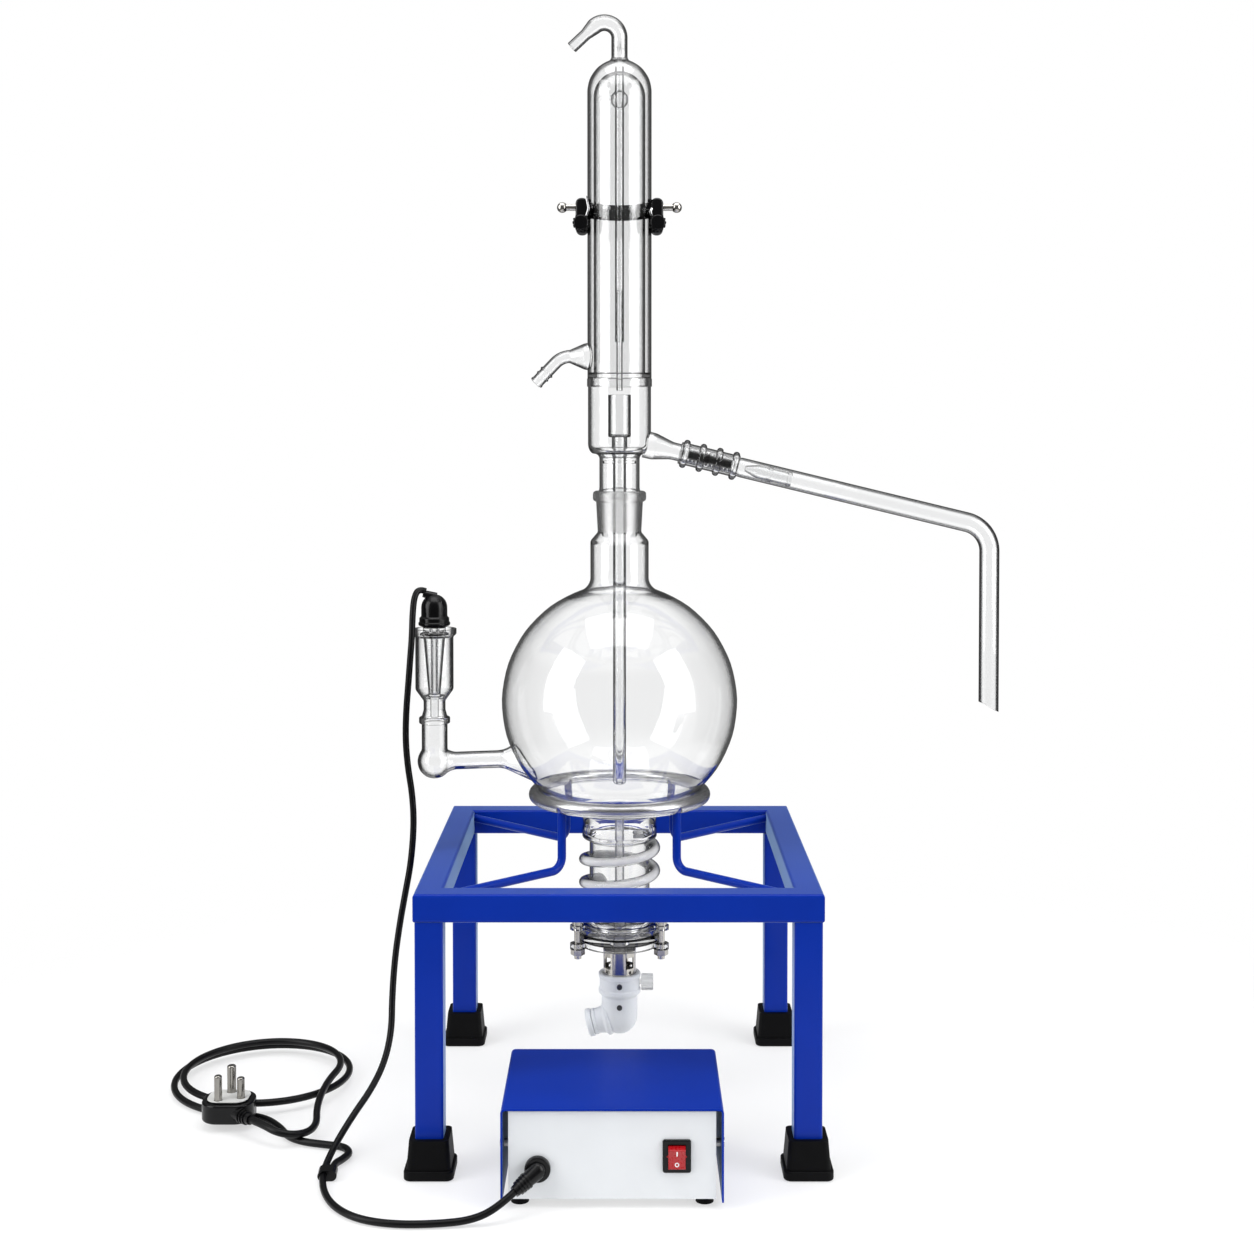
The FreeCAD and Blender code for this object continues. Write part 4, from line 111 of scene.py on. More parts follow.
def rounded_line(mesh, corners, loop):
    """A wire through corners (r, z, round), with an arc at each corner that has one."""
    verts = [mesh.verts.new((r, 0, z)) for r, z, _ in corners]
    pairs = list(zip(verts, verts[1:])) + ([(verts[-1], verts[0])] if loop else [])
    for pair in pairs:
        mesh.edges.new(pair)
    for vert, (_, _, radius) in zip(verts, corners):
        if radius == 0:
            continue
        ways = [edge.other_vert(vert).co - vert.co for edge in vert.link_edges]
        turn = math.pi - ways[0].angle(ways[1])
        bmesh.ops.bevel(mesh, geom=[vert], offset=radius * math.tan(turn / 2), offset_type="OFFSET",
                        segments=max(3, round(math.degrees(turn) / 4)), profile=0.5, affect="VERTICES", material=-1)


def turned(corners, steps=96, loop=False, place=None):
    """A shape that corners (r, z, round) sweep round +Z."""
    mesh = bmesh.new()
    rounded_line(mesh, corners, loop)
    bmesh.ops.spin(mesh, geom=mesh.verts[:] + mesh.edges[:], cent=(0, 0, 0), axis=(0, 0, 1), dvec=(0, 0, 0),
                   angle=math.tau, steps=steps, use_merge=True)
    closed(mesh)
    if place is not None:
        bmesh.ops.transform(mesh, matrix=place, verts=mesh.verts)
    return mesh


def join(mesh, *others):
    """Add the faces of other meshes to one."""
    for other in others:
        data = bpy.data.meshes.new("joined")
        other.to_mesh(data)
        other.free()
        mesh.from_mesh(data)
        bpy.data.meshes.remove(data)
    return mesh


# Glassware

def path(corners, step=6.0):
    """Places and headings along a line through corners (x, y, z, bend), with an arc at each bend."""
    points = [Vector(corner[:3]) for corner in corners]
    stations = [(points[0], (points[1] - points[0]).normalized())]
    for back, here, ahead, corner in zip(points, points[1:], points[2:], corners[1:]):
        into, out = (here - back).normalized(), (ahead - here).normalized()
        turn = into.angle(out)
        start = here - into * (corner[3] * math.tan(turn / 2))
        side = into.cross(out).normalized().cross(into)
        count = max(1, round(math.degrees(turn) / step))
        for i in range(count + 1):
            part = turn * i / count
            stations.append((start + (into * math.sin(part) + side * (1 - math.cos(part))) * corner[3],
                             into * math.cos(part) + side * math.sin(part)))
    stations.append((points[-1], (points[-1] - points[-2]).normalized()))
    return stations


def bar(stations, radii, sides=48):
    """A closed round bar through places and headings, with one radius or a radius for each."""
    mesh = bmesh.new()
    radii = radii if isinstance(radii, (list, tuple)) else [radii] * len(stations)
    bmesh.ops.create_circle(mesh, cap_ends=True, segments=sides, radius=1.0)
    ring, last, heading = mesh.edges[:], Matrix.Identity(4), Vector((0, 0, 1))
    verts, turn = mesh.verts[:], Matrix.Identity(3).to_quaternion()
    for count, ((place, ahead), radius) in enumerate(zip(stations, radii)):
        turn = heading.rotation_difference(ahead) @ turn
        frame_now = Matrix.LocRotScale(place, turn, Vector((radius, radius, radius)))
        if count:
            made = bmesh.ops.extrude_edge_only(mesh, edges=ring)["geom"]
            verts = [each for each in made if isinstance(each, bmesh.types.BMVert)]
            ring = [each for each in made if isinstance(each, bmesh.types.BMEdge)
                    and all(vert in verts for vert in each.verts)]
        bmesh.ops.transform(mesh, matrix=frame_now @ last.inverted(), verts=verts)
        last, heading = frame_now, ahead
    bmesh.ops.contextual_create(mesh, geom=ring)
    return closed(mesh)


def fused(outers, inners):
    """One shell from closed shapes: the first ones joined and the others taken out of them."""
    made = []
    for mesh in (*outers, *inners):
        data = bpy.data.meshes.new("shape")
        mesh.to_mesh(data)
        mesh.free()
        made.append(bpy.data.objects.new("shape", data))
        bpy.context.scene.collection.objects.link(made[-1])
    for count, other in enumerate(made[1:], 1):
        step = made[0].modifiers.new("step", "BOOLEAN")
        step.operation = "UNION" if count < len(outers) else "DIFFERENCE"
        step.solver = "EXACT"
        step.object = other
    bpy.context.view_layer.update()
    result = bpy.data.meshes.new_from_object(made[0].evaluated_get(bpy.context.evaluated_depsgraph_get()))
    mesh = bmesh.new()
    mesh.from_mesh(result)
    bpy.data.meshes.remove(result)
    for each in made:
        data = each.data
        bpy.data.objects.remove(each)
        bpy.data.meshes.remove(data)
    bmesh.ops.remove_doubles(mesh, verts=mesh.verts, dist=0.0005)
    return mesh


def ball_line(radius, height, top, top_fillet, low, low_fillet, count=8):
    """Corners down a ball's outline, from a fillet at a neck on top to one at a neck below."""
    high = math.acos((top + top_fillet) / (radius + top_fillet))
    deep = math.acos((low + low_fillet) / (radius + low_fillet))
    step = (high + deep) / count
    line = []
    for i in range(count):
        angle = high - step * (i + 0.5)
        reach = radius / math.cos(step / 2)
        line.append((reach * math.cos(angle), height + reach * math.sin(angle), radius))
    ends = []
    for neck, angle, way in ((top, high, 1), (low, deep, -1)):
        run = (radius * math.cos(angle) - neck) / math.sin(angle)
        ends.append(height + way * (radius * math.sin(angle) + run * math.cos(angle)))
    return [(top, ends[0], top_fillet), *line, (low, ends[1], low_fillet)]


def dome_line(radius, height, hole, fillet=0.0, count=3):
    """Corners up a dome's outline, from its foot to a hole or a fillet at its crown."""
    high = math.acos((hole + fillet) / (radius + fillet))
    step = high / count
    line = []
    for i in range(count):
        angle = step * (i + 0.5)
        reach = radius / math.cos(step / 2)
        line.append((reach * math.cos(angle), height + reach * math.sin(angle), radius))
    if fillet:
        run = (radius * math.cos(high) - hole) / math.sin(high)
        return line + [(hole, height + radius * math.sin(high) + run * math.cos(high), fillet)]
    return line + [(hole, height + radius * math.sin(high), 0)]


def bulb_line(radius, height, neck, fillet):
    """Corners up a bulb's outline, from its lowest point to the fillet at the neck on top."""
    low = [(r, 2 * height - z, turn) for r, z, turn in reversed(dome_line(radius, height, 0.0))]
    return [(0, low[0][1], 0), *low[1:], *dome_line(radius, height, neck, fillet)]


def joint_radius(height):
    """The radius of the ground joint's cone at a height."""
    return 20.0 - 0.05 * (594.0 - height)


def flask_zone(middle):
    """The finish of a face of the flask: ball, neck, ground joint or thin limb."""
    reach = math.hypot(middle.x, middle.y)
    if middle.x < -113:
        return 3
    if middle.z > 556.5:
        return 2
    return 0 if reach > 50 and middle.z > 276 else 1


def head_zone(middle):
    """The finish of a face of the head: body, ground cone or side arm."""
    reach = math.hypot(middle.x, middle.y)
    if middle.x > 33:
        return 2
    return 1 if 557 < middle.z < 595 and reach > 17.5 else 0


def jacket_zone(middle):
    """The finish of a face of the jacket: body, or the thin outlet and inlet."""
    return 1 if middle.z > 1016 or middle.x < -31.5 else 0


ARM_START = Vector((24.5, 0, 641.2))
ARM_WAY = Vector((math.cos(math.radians(13.6)), 0, -math.sin(math.radians(13.6))))
LIMB_AT = Matrix.Translation((-180.0, 0, 0))
BALL_Z = 391.17


def on_arm():
    """The matrix that stands a shape made round +Z on the side arm's centre line."""
    return along(ARM_START, ARM_WAY)


def flask_glass():
    """The flask: socket, neck, ball, lower neck and flange, with the level limb on its left."""
    outer = turned([(0, 596, 0), (25.8, 596, 3.2), (25.8, 587, 3.2), (joint_radius(587) + 3, 585.4, 0),
                    (joint_radius(556) + 3, 556, 3.2), (28.3, 547.5, 4.8),
                    *ball_line(114.3, BALL_Z, 28.3, 13, 34, 14), (36.3, 268, 1.6), (36.3, 258, 3.2),
                    (29.2, 258, 1.6), (29.2, 174, 6), (40, 174, 1.6), (40, 168, 1.6), (0, 168, 0)], 128)
    inner = turned([(0, 597, 0), (joint_radius(597), 597, 0), (joint_radius(556), 556, 1.6), (25.8, 545, 4.8),
                    *ball_line(111.8, BALL_Z, 25.8, 15.5, 31.5, 16.5), (31.5, 263, 3.2), (26.8, 255.6, 3.2),
                    (26.8, 167, 0), (0, 167, 0)], 128)
    tilt = math.radians(2.0)
    arm_at = along((-180, 0, 332.5), (math.cos(tilt), 0, math.sin(tilt)))
    shapes = []
    for wall, arm_wall, extra in ((0, 0, 0), (1.7, 1.8, 0.5)):
        arm = turned([*bulb_line(16.5 - wall, 0, 8.5 - arm_wall, 16 + arm_wall), (8.5 - arm_wall, 66.7, 22),
                      (23 - arm_wall, 96, 3.2), (23 - arm_wall, 110 + extra, 0), (0, 110 + extra, 0)], 64, place=arm_at)
        bead = 15.0 if wall == 0 else 12.5 - wall
        riser = turned([*bulb_line(16.6 - wall, 332.5, 12.5 - wall, 7 + wall), (12.5 - wall, 369.75, 0),
                        (bead + 0.05, 369.8, 1.5 - wall / 2),
                        (bead + 0.05, 376.2, 1.5 - wall / 2), (12.5 - wall, 376.25, 0), (10.6 - wall, 383, 3.2),
                        (10.6 - wall, 392, 3.2), (18.5 - wall, 403, 4.8), (18.5 - wall, 454, 1.6),
                        (21.5 - 2 * wall, 457.2, 1.6), (21.5 - 2 * wall, 462 + extra, 0), (0, 462 + extra, 0)], 64,
                       place=LIMB_AT)
        shapes.append([riser, arm])
    return fused([outer, *shapes[0]], [inner, *shapes[1]])


def head_glass():
    """The vapour head with its ground cone and its sloping side arm."""
    body = turned([(0, 551, 0), (17, 551, 0), (joint_radius(556) - 0.1, 556, 0), (joint_radius(596) - 0.1, 596, 0),
                   (19.5, 599, 0), (19.5, 632, 5), (30.5, 632, 10), (30.5, 696.9, 0), (31.4, 697, 0), (31.4, 705, 0.8),
                   (0, 705, 0)], 128)
    room_in = turned([(0, 550, 0), (16.9, 550, 0), (16.9, 634.2, 5), (28.3, 634.2, 7.8), (28.3, 706, 0), (0, 706, 0)],
                     128)
    arms = [turned([(0, 0, 0), (13 - wall, 0, 0), (13 - wall, 9, 17), (8.5 - wall, 27, 17), (8.5 - wall, 60.5 + extra, 0),
                    (0, 60.5 + extra, 0)], 64, place=on_arm()) for wall, extra in ((0, 0), (1.7, 0.5))]
    return fused([body, arms[0]], [room_in, arms[1]])


def feed_glass():
    """The open feed cup with the long tube below it and three prongs that centre it."""
    mesh = turned([(2.2, 310, 0), (6.25, 310, 3.1), (6.25, 632, 0), (7.5, 633.6, 0), (7.5, 648, 0), (11, 648, 1.6),
                   (11, 689, 0.7), (9.5, 689, 0.7), (9.5, 649.5, 1.6), (4.75, 649.5, 0), (4.75, 316.3, 0),
                   (2.2, 311.5, 0)], 64, loop=True)
    for angle in (90, 210, 330):
        way = Vector((math.cos(math.radians(angle)), math.sin(math.radians(angle)), 0))
        prong = bar([(way * 6.2 + UP * 624, way), (way * 16.6 + UP * 624, way)], 1.5, 16)
        mesh = join(mesh, prong)
    return mesh


def hook_stations():
    """The line of the water outlet: up, over to the left and down to its open end, with radii."""
    bend, down = 14.6, Vector((-math.sin(math.radians(133)), 0, math.cos(math.radians(133))))
    reach = bend * math.tan(math.radians(133) / 4)
    middle = Vector((-math.sin(math.radians(66.5)), 0, math.cos(math.radians(66.5))))
    first = Vector((0, 0, 1032.2 + reach))
    second = first + middle * (2 * reach)
    knee = second + down * reach
    stations = path([(0, 0, 1018, 0), (*first, bend), (*second, bend), (*(knee + down), 0)], 2.5)[:-1]
    return stations + [(knee + down * 11, down)], down


def jacket_glass():
    """The condenser's outer glass with its domed top, outlet hook and water inlet."""
    outer = turned([(0, 697, 0), (28.1, 697, 0.8), (28.1, 705, 0), (31, 705, 0.8), *dome_line(31, 980.6, 7.8, 5),
                    (7.8, 1024, 0), (0, 1024, 0)], 128)
    inner = turned([(0, 696, 0), (26.1, 696, 0), (26.1, 705, 0), (22.6, 705, 0), (22.6, 708.5, 0), (28.8, 708.5, 2),
                    *dome_line(28.8, 980.6, 5.9, 3), (5.9, 1025, 0), (0, 1025, 0)], 128)
    stations, down = hook_stations()
    end = stations[-1][0]
    tubes = []
    for wall, extra in ((0, 0), (1.9, 0.5)):
        radii = [7.8 - wall] * (len(stations) - 1) + [5.7 - wall] * 2
        tubes.append(bar(stations + [(end + down * (18 + extra), down)], radii, 96))
    knee, tip = Vector((-56, 0, 726)), Vector((-81, 0, 700))
    way = (tip - knee).normalized()
    nozzle = []
    for wall, extra in ((0, 0), (1.4, 0.5)):
        root = turned([(0, -extra, 0), (13 - wall, -extra, 0), (13 - wall, 4.8, 10), (6.2 - wall, 20.2, 6),
                       (6.2 - wall, 23, 0), (0, 23, 0)], 96, place=along((-28.3, 0, 726), (-1, 0, 0)))
        pipe = bar(path([(-47, 0, 726, 0), (*knee, 20), (*(tip + way * extra), 0)], 2.5), 6.2 - wall, 96)
        nozzle.append([root, pipe])
    barbs = [turned([(0, -1.6, 0), (6.2, -1.6, 0), (high, 0, 0.8), (6.2, 1.6, 0), (0, 1.6, 0)], 96,
                    place=along(tip - way * back, way)) for back, high in ((15, 7.7), (9.5, 7.2), (1.6, 6.9))]
    return fused([outer, tubes[0], *nozzle[0], *barbs], [inner, tubes[1], *nozzle[1]])


def condenser_core():
    """The condenser's domed inner tube."""
    dome = dome_line(25, 975, 4.6)
    inside = list(reversed(dome_line(23.2, 975, 4.6)))
    return turned([(23.2, 708.5, 0), (25, 708.5, 0), *dome, *inside], 128, loop=True)


def downcomer_glass():
    """The water downcomer with its tee and the thin overflow arm."""
    mesh = turned([(3.05, 740, 0), (4.35, 740, 0.5), (4.35, 965, 0), (8, 969.35, 3), (8, 976.65, 3), (4.35, 981, 0),
                   (4.35, 1005, 0.5), (3.05, 1005, 0)], 48, loop=True)
    return join(mesh, bar(path([(-4.2, 0, 975, 0), (-21, 0, 975, 5), (-21, 0, 720, 0)]), 1.75, 24))


def delivery_glass():
    """The delivery tube: stub, long sloping run, bend and drop, cut aslant, with the small tip inside it."""
    turn_point = ARM_START + ARM_WAY * ((359 - 24.5) / ARM_WAY.x)
    shapes = []
    for wall, extra in ((0, 0), (1.6, 0.5)):
        stations = [(ARM_START + ARM_WAY * reach, ARM_WAY) for reach in (64 - extra, 78, 90, 92, 94, 96)]
        run = path([(*(ARM_START + ARM_WAY * 104), 0), (*turn_point, 29), (359, 0, 371.4 - extra, 0)], 2.5)
        radii = [8.5 - wall] * 3 + [8.75 - wall, 9.35 - wall] + [9.6 - wall] * (len(run) + 1)
        shapes.append(bar(stations + run, radii, 96))
    block = bmesh.new()
    lean = math.atan(5.0 / 9.6)
    bmesh.ops.create_cube(block, size=60, matrix=Matrix.Translation((359, 0, 386)) @ Matrix.Rotation(lean, 4, "Y")
                          @ Matrix.Translation((0, 0, -30)))
    mesh = fused(shapes[:1], [shapes[1], block])
    tip = turned([(1.6, 100, 0), (2.6, 100, 0.4), (6.6, 112, 7), (6.6, 122, 0.6), (7.9, 124.4, 0.9), (6.6, 126.8, 0.6),
                  (6.6, 141.2, 0.6), (7.9, 143.6, 0.9), (6.6, 146, 0), (5.6, 146, 0), (5.6, 113, 7)], 64, loop=True,
                 place=on_arm())
    return join(mesh, tip)


def sleeve_glass():
    """The ribbed coupling sleeve on the side arm."""
    line = [(8.6, 35, 0), (10.8, 35, 0.8)]
    for i in range(4):
        middle = 40 + 16.4 * i
        line += [(10.8, middle - 3.1, 0.6), (13.9, middle - 3.1, 3), (13.9, middle + 3.1, 3), (10.8, middle + 3.1, 0.6)]
    return turned([*line, (10.8, 93, 0.8), (8.6, 93, 0)], 64, loop=True, place=on_arm())


def bush_coil():
    """The dark spring-shaped bush inside the sleeve."""
    mesh = bmesh.new()
    bmesh.ops.create_circle(mesh, cap_ends=True, segments=12, radius=1.5,
                            matrix=Matrix.Translation((5.1, 0, 43.5)) @ Matrix.Rotation(math.pi / 2, 4, "X"))
    turns, steps = 11, 32
    bmesh.ops.spin(mesh, geom=mesh.verts[:] + mesh.edges[:] + mesh.faces[:], cent=(0, 0, 0), axis=(0, 0, 1),
                   dvec=(0, 0, 43.0 / (turns * steps)), angle=math.tau * turns, steps=turns * steps, use_merge=False)
    closed(mesh)
    bmesh.ops.transform(mesh, matrix=on_arm(), verts=mesh.verts)
    return join(mesh, turned([(2.2, 42.5, 0), (4.2, 42.5, 0.4), (4.2, 87.5, 0.4), (2.2, 87.5, 0)], 32, loop=True,
                             place=on_arm()))


def heater_coil(thick, sides):
    """A bar along the heater that winds up round the lower neck, its ends turned away."""
    radius, low, pitch, start, turns, share = 34.8, 211.6, 22.6, math.radians(-225), 1.75, 40
    stations = []
    rise = pitch / (math.tau * radius)
    for i in range(round(turns * share) + 1):
        angle = start + math.tau * i / share
        stations.append((Vector((radius * math.cos(angle), radius * math.sin(angle), low + pitch * i / share)),
                         Vector((-math.sin(angle), math.cos(angle), rise)).normalized()))
    first, last = stations[0], stations[-1]
    entry = path([(*(first[0] - first[1] * 10 - UP * 19.6), 0), (*(first[0] - first[1] * 10), 9.5), (*first[0], 0)])[:-1]
    return bar([*entry, *stations, (last[0] + last[1] * 9.6, last[1])], thick, sides)


def valve_shell():
    """The drain valve's body: collar, column, round belly and the spout with its lips."""
    centre, way = Vector((0, 0, 83)), Vector((-math.cos(math.radians(14)), 0, -math.sin(math.radians(14))))
    column = turned([(0, 83, 0), (17.5, 83, 0), (17.5, 103.6, 1.6), (19.6, 105.8, 1.2), (20.5, 107, 1), (20.5, 110, 0.8),
                     (19.5, 111.2, 0.8), (19.5, 120.8, 0.8), (20.5, 122, 0.8), (20.5, 126, 1.6), (16.3, 126, 0.5),
                     (16.3, 121, 0), (0, 121, 0)], 96)
    belly = bmesh.new()
    bmesh.ops.create_uvsphere(belly, u_segments=72, v_segments=40, radius=17.2, matrix=Matrix.Translation(centre))
    spout = turned([(0, 0, 0), (14.4, 0, 0), (14.4, 9.4, 1), (15.9, 11, 1.2), (15.9, 13.6, 1.2), (13, 16, 1.5),
                    (11.8, 22.4, 1), (12.6, 23.6, 0.8), (12.6, 26.4, 0.8), (0, 26.4, 0)], 72, place=along(centre, way))
    across = Vector((1, 0, 0))
    bores = [bar([(centre, UP), (centre + UP * 40, UP)], 6.6), bar([(centre, way), (centre + way * 28, way)], 8),
             bar([(Vector((11.9, 0, 116)), across), (Vector((24, 0, 116)), across)], 2.75, 24)]
    return fused([column, belly, spout], bores)


def valve_cap():
    """The round cap that closes the spout."""
    way = Vector((-math.cos(math.radians(14)), 0, -math.sin(math.radians(14))))
    return turned([(0, 20, 0), (7.75, 20, 0), (7.75, 26.8, 0), (13.4, 26.8, 1.2), (13.4, 32.5, 2.2), (9.6, 32.5, 0.6),
                   (9, 31.7, 0.6), (0, 31.7, 0)], 72, place=along((0, 0, 83), way))


def cap_shell():
    """The probe's domed cap: a collar with two lips and a short boss for the lead."""
    dome = turned([(0, 465, 0), (14.2, 465, 0.8), (15.4, 466, 0.8), (15.4, 468, 0.8), (14.5, 469, 0.6), (14.5, 472.6, 1),
                   (12.7, 474.2, 1), *dome_line(12.6, 482.9, 0)], 72, place=LIMB_AT)
    way = Vector((-math.cos(math.radians(14)), 0, math.sin(math.radians(14))))
    root = Vector((-178, 0, 492.9))
    return fused([dome, bar([(root, way), (root + way * 9, way), (root + way * 13, way)], [4.2, 3.9, 3.4], 32)], [])


def plug_plate():
    """The pale plate on the plug, with its three holes for the pins."""
    plate = bmesh.new()
    bmesh.ops.create_cube(plate, size=1, matrix=Matrix.Diagonal((38.4, 31.4, 0.9, 1)))
    posts = [edge for edge in plate.edges if abs(edge.verts[0].co.z - edge.verts[1].co.z) > 0.1]
    bmesh.ops.bevel(plate, geom=posts, offset=10.8, offset_type="OFFSET", segments=10, profile=0.5, affect="EDGES",
                    material=-1)
    bmesh.ops.translate(plate, verts=plate.verts, vec=(-368, -62, 26.7))
    holes = [bar([(Vector((-368 + x, -62 + y, 25)), UP), (Vector((-368 + x, -62 + y, 29)), UP)], radius + 0.4, 32)
             for x, y, radius in ((0, 11, 4.2), (-8, -10, 3.6), (12, -4, 3.6))]
    return fused([plate], holes)


def rocker_marks():
    """The on bar and the off ring moulded on the rocker's face."""
    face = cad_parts["switch_rocker"]
    feet = []
    for height in (51.4, 47.0, 39.2):
        _, place, facing, _ = face.ray_cast(spot(49.2, -300, height), Vector((0, 1, 0)))
        feet.append(((place - AXIS) / MM, facing))
    (top, outward), (low, _), (ring, ring_out) = feet
    way = (low - top).normalized()
    mesh = bar([(top - outward * 0.25, way), (low - outward * 0.25, way)], 0.6, 16)
    return join(mesh, turned([(1.1, -0.4, 0), (1.9, -0.4, 0), (1.9, 0.3, 0.15), (1.1, 0.3, 0.15)], 32, loop=True,
                             place=along(ring, ring_out)))


def clamp_springs():
    """The bright bent springs in front of the clamp's jaws."""
    left = bar(path([(-32, -17.4, 878, 0), (-30.6, -18.6, 873, 4), (-29.4, -18.8, 866, 6), (-31.4, -17.4, 860, 0)]), 1.2, 20)
    right = bar(path([(31, -17.4, 866.5, 0), (29.6, -18.8, 863.5, 2), (30.6, -17.4, 860, 0)]), 1.3, 20)
    return join(left, right)


# Shared effects and finishes

def group(name, takes, gives):
    """A shader node group with named inputs and outputs."""
    made = bpy.data.node_groups.new(name, "ShaderNodeTree")
    for title, kind, default, low, high in takes:
        socket = made.interface.new_socket(name=title, in_out="INPUT", socket_type=kind)
        socket.default_value = default
        socket.min_value, socket.max_value = low, high
    for title, kind in gives:
        made.interface.new_socket(name=title, in_out="OUTPUT", socket_type=kind)
    return made, made.nodes.new("NodeGroupInput"), made.nodes.new("NodeGroupOutput")


def surface_group():
    """Patches, fine grain and a bumped normal, all read from the object's own coordinates."""
    made, takes, gives = group("Surface Variation", [
        ("Patch Scale", "NodeSocketFloat", 20.0, 0.0, 5000.0), ("Grain Scale", "NodeSocketFloat", 400.0, 0.0, 9000.0),
        ("Patch Contrast", "NodeSocketFloat", 1.0, 0.0, 10.0), ("Bump", "NodeSocketFloat", 0.1, 0.0, 1.0)], [
        ("Patches", "NodeSocketFloat"), ("Grain", "NodeSocketFloat"), ("Normal", "NodeSocketVector")])
    nodes, links = made.nodes, made.links
    place = nodes.new("ShaderNodeTexCoord")
    patches, grain = nodes.new("ShaderNodeTexNoise"), nodes.new("ShaderNodeTexNoise")
    patches.inputs["Detail"].default_value = 3.0
    grain.inputs["Detail"].default_value = 2.0
    spread = nodes.new("ShaderNodeMath")
    spread.operation = "MULTIPLY_ADD"
    spread.use_clamp = True
    spread.inputs[2].default_value = 0.0
    centre = nodes.new("ShaderNodeMath")
    centre.operation = "SUBTRACT"
    centre.inputs[1].default_value = 0.5
    back = nodes.new("ShaderNodeMath")
    back.operation = "ADD"
    back.use_clamp = True
    back.inputs[1].default_value = 0.5
    bump = nodes.new("ShaderNodeBump")
    bump.inputs["Distance"].default_value = 0.0004
    spread.use_clamp = False
    for start, end in ((place.outputs["Object"], patches.inputs["Vector"]),
                       (place.outputs["Object"], grain.inputs["Vector"]),
                       (takes.outputs["Patch Scale"], patches.inputs["Scale"]),
                       (takes.outputs["Grain Scale"], grain.inputs["Scale"]),
                       (patches.outputs["Fac"], centre.inputs[0]), (centre.outputs[0], spread.inputs[0]),
                       (takes.outputs["Patch Contrast"], spread.inputs[1]), (spread.outputs[0], back.inputs[0]),
                       (back.outputs[0], gives.inputs["Patches"]), (grain.outputs["Fac"], gives.inputs["Grain"]),
                       (grain.outputs["Fac"], bump.inputs["Height"]), (takes.outputs["Bump"], bump.inputs["Strength"]),
                       (bump.outputs["Normal"], gives.inputs["Normal"])):
        links.new(start, end)
    return made


def blank(name):
    """A material's node tree and its shader."""
    made = bpy.data.materials.new(name)
    made.use_nodes = True
    return made, made.node_tree, made.node_tree.nodes["Principled BSDF"]


def varied(tree, shader, colours, rough, scales, contrast, bump):
    """Run a shader's colour, roughness and normal from the shared surface variation."""
    surface = tree.nodes.new("ShaderNodeGroup")
    surface.node_tree = bpy.data.node_groups["Surface Variation"]
    surface.inputs["Patch Scale"].default_value, surface.inputs["Grain Scale"].default_value = scales
    surface.inputs["Patch Contrast"].default_value = contrast
    surface.inputs["Bump"].default_value = bump
    ramp = tree.nodes.new("ShaderNodeValToRGB")
    for stop, colour in zip(ramp.color_ramp.elements, colours):
        stop.color = (*colour, 1)
    span = tree.nodes.new("ShaderNodeMapRange")
    span.inputs["To Min"].default_value, span.inputs["To Max"].default_value = rough
    tree.links.new(surface.outputs["Patches"], ramp.inputs["Fac"])
    tree.links.new(ramp.outputs["Color"], shader.inputs["Base Color"])
    tree.links.new(surface.outputs["Grain"], span.inputs["Value"])
    tree.links.new(span.outputs["Result"], shader.inputs["Roughness"])
    tree.links.new(surface.outputs["Normal"], shader.inputs["Normal"])
    return surface, ramp


def solid(name, dark, light, rough=(0.3, 0.4), scales=(25.0, 500.0), contrast=1.6, bump=0.1, metal=0.0, coat_weight=0.0,
          specular=0.5, sheen=0.0):
    """An opaque finish whose colour drifts between two shades."""
    made, tree, shader = blank(name)
    varied(tree, shader, (dark, light), rough, scales, contrast, bump)
    shader.inputs["Metallic"].default_value = metal
    shader.inputs["Coat Weight"].default_value = coat_weight
    shader.inputs["Coat Roughness"].default_value = 0.1
    shader.inputs["Specular IOR Level"].default_value = specular
    shader.inputs["Sheen Weight"].default_value = sheen
    shader.inputs["Sheen Roughness"].default_value = 0.25
    shader.inputs["Sheen Tint"].default_value = (0.45, 0.7, 1, 1)
    return made


def glass(name, centre, edge, rough=(0.0, 0.0), bump=0.0, bend=(0.35, 0.9), ior=1.47):
    """Clear glass whose colour falls to a darker shade where the surface turns away: a painted dark outline that stands
    in for the shade at the glass's edges.
    """
    made, tree, shader = blank(name)
    nodes, links = tree.nodes, tree.links
    surface = nodes.new("ShaderNodeGroup")
    surface.node_tree = bpy.data.node_groups["Surface Variation"]
    surface.inputs["Patch Scale"].default_value = 9.0
    surface.inputs["Grain Scale"].default_value = 28.0
    surface.inputs["Bump"].default_value = bump
    # Painted shade: the facing ramp paints a dark outline into the base colour where the surface turns away from the
    # view.
    facing = nodes.new("ShaderNodeLayerWeight")
    facing.inputs["Blend"].default_value = 0.5
    ramp = nodes.new("ShaderNodeValToRGB")
    ramp.color_ramp.interpolation = "EASE"
    first, last = ramp.color_ramp.elements
    first.position, first.color = bend[0], (*centre, 1)
    last.position, last.color = bend[1], (*edge, 1)
    links.new(facing.outputs["Facing"], ramp.inputs["Fac"])
    links.new(ramp.outputs["Color"], shader.inputs["Base Color"])
    if bump:
        links.new(surface.outputs["Normal"], shader.inputs["Normal"])
    span = nodes.new("ShaderNodeMapRange")
    span.inputs["To Min"].default_value, span.inputs["To Max"].default_value = rough
    links.new(surface.outputs["Patches"], span.inputs["Value"])
    links.new(span.outputs["Result"], shader.inputs["Roughness"])
    shader.inputs["Transmission Weight"].default_value = 1.0
    shader.inputs["IOR"].default_value = ior
    return made


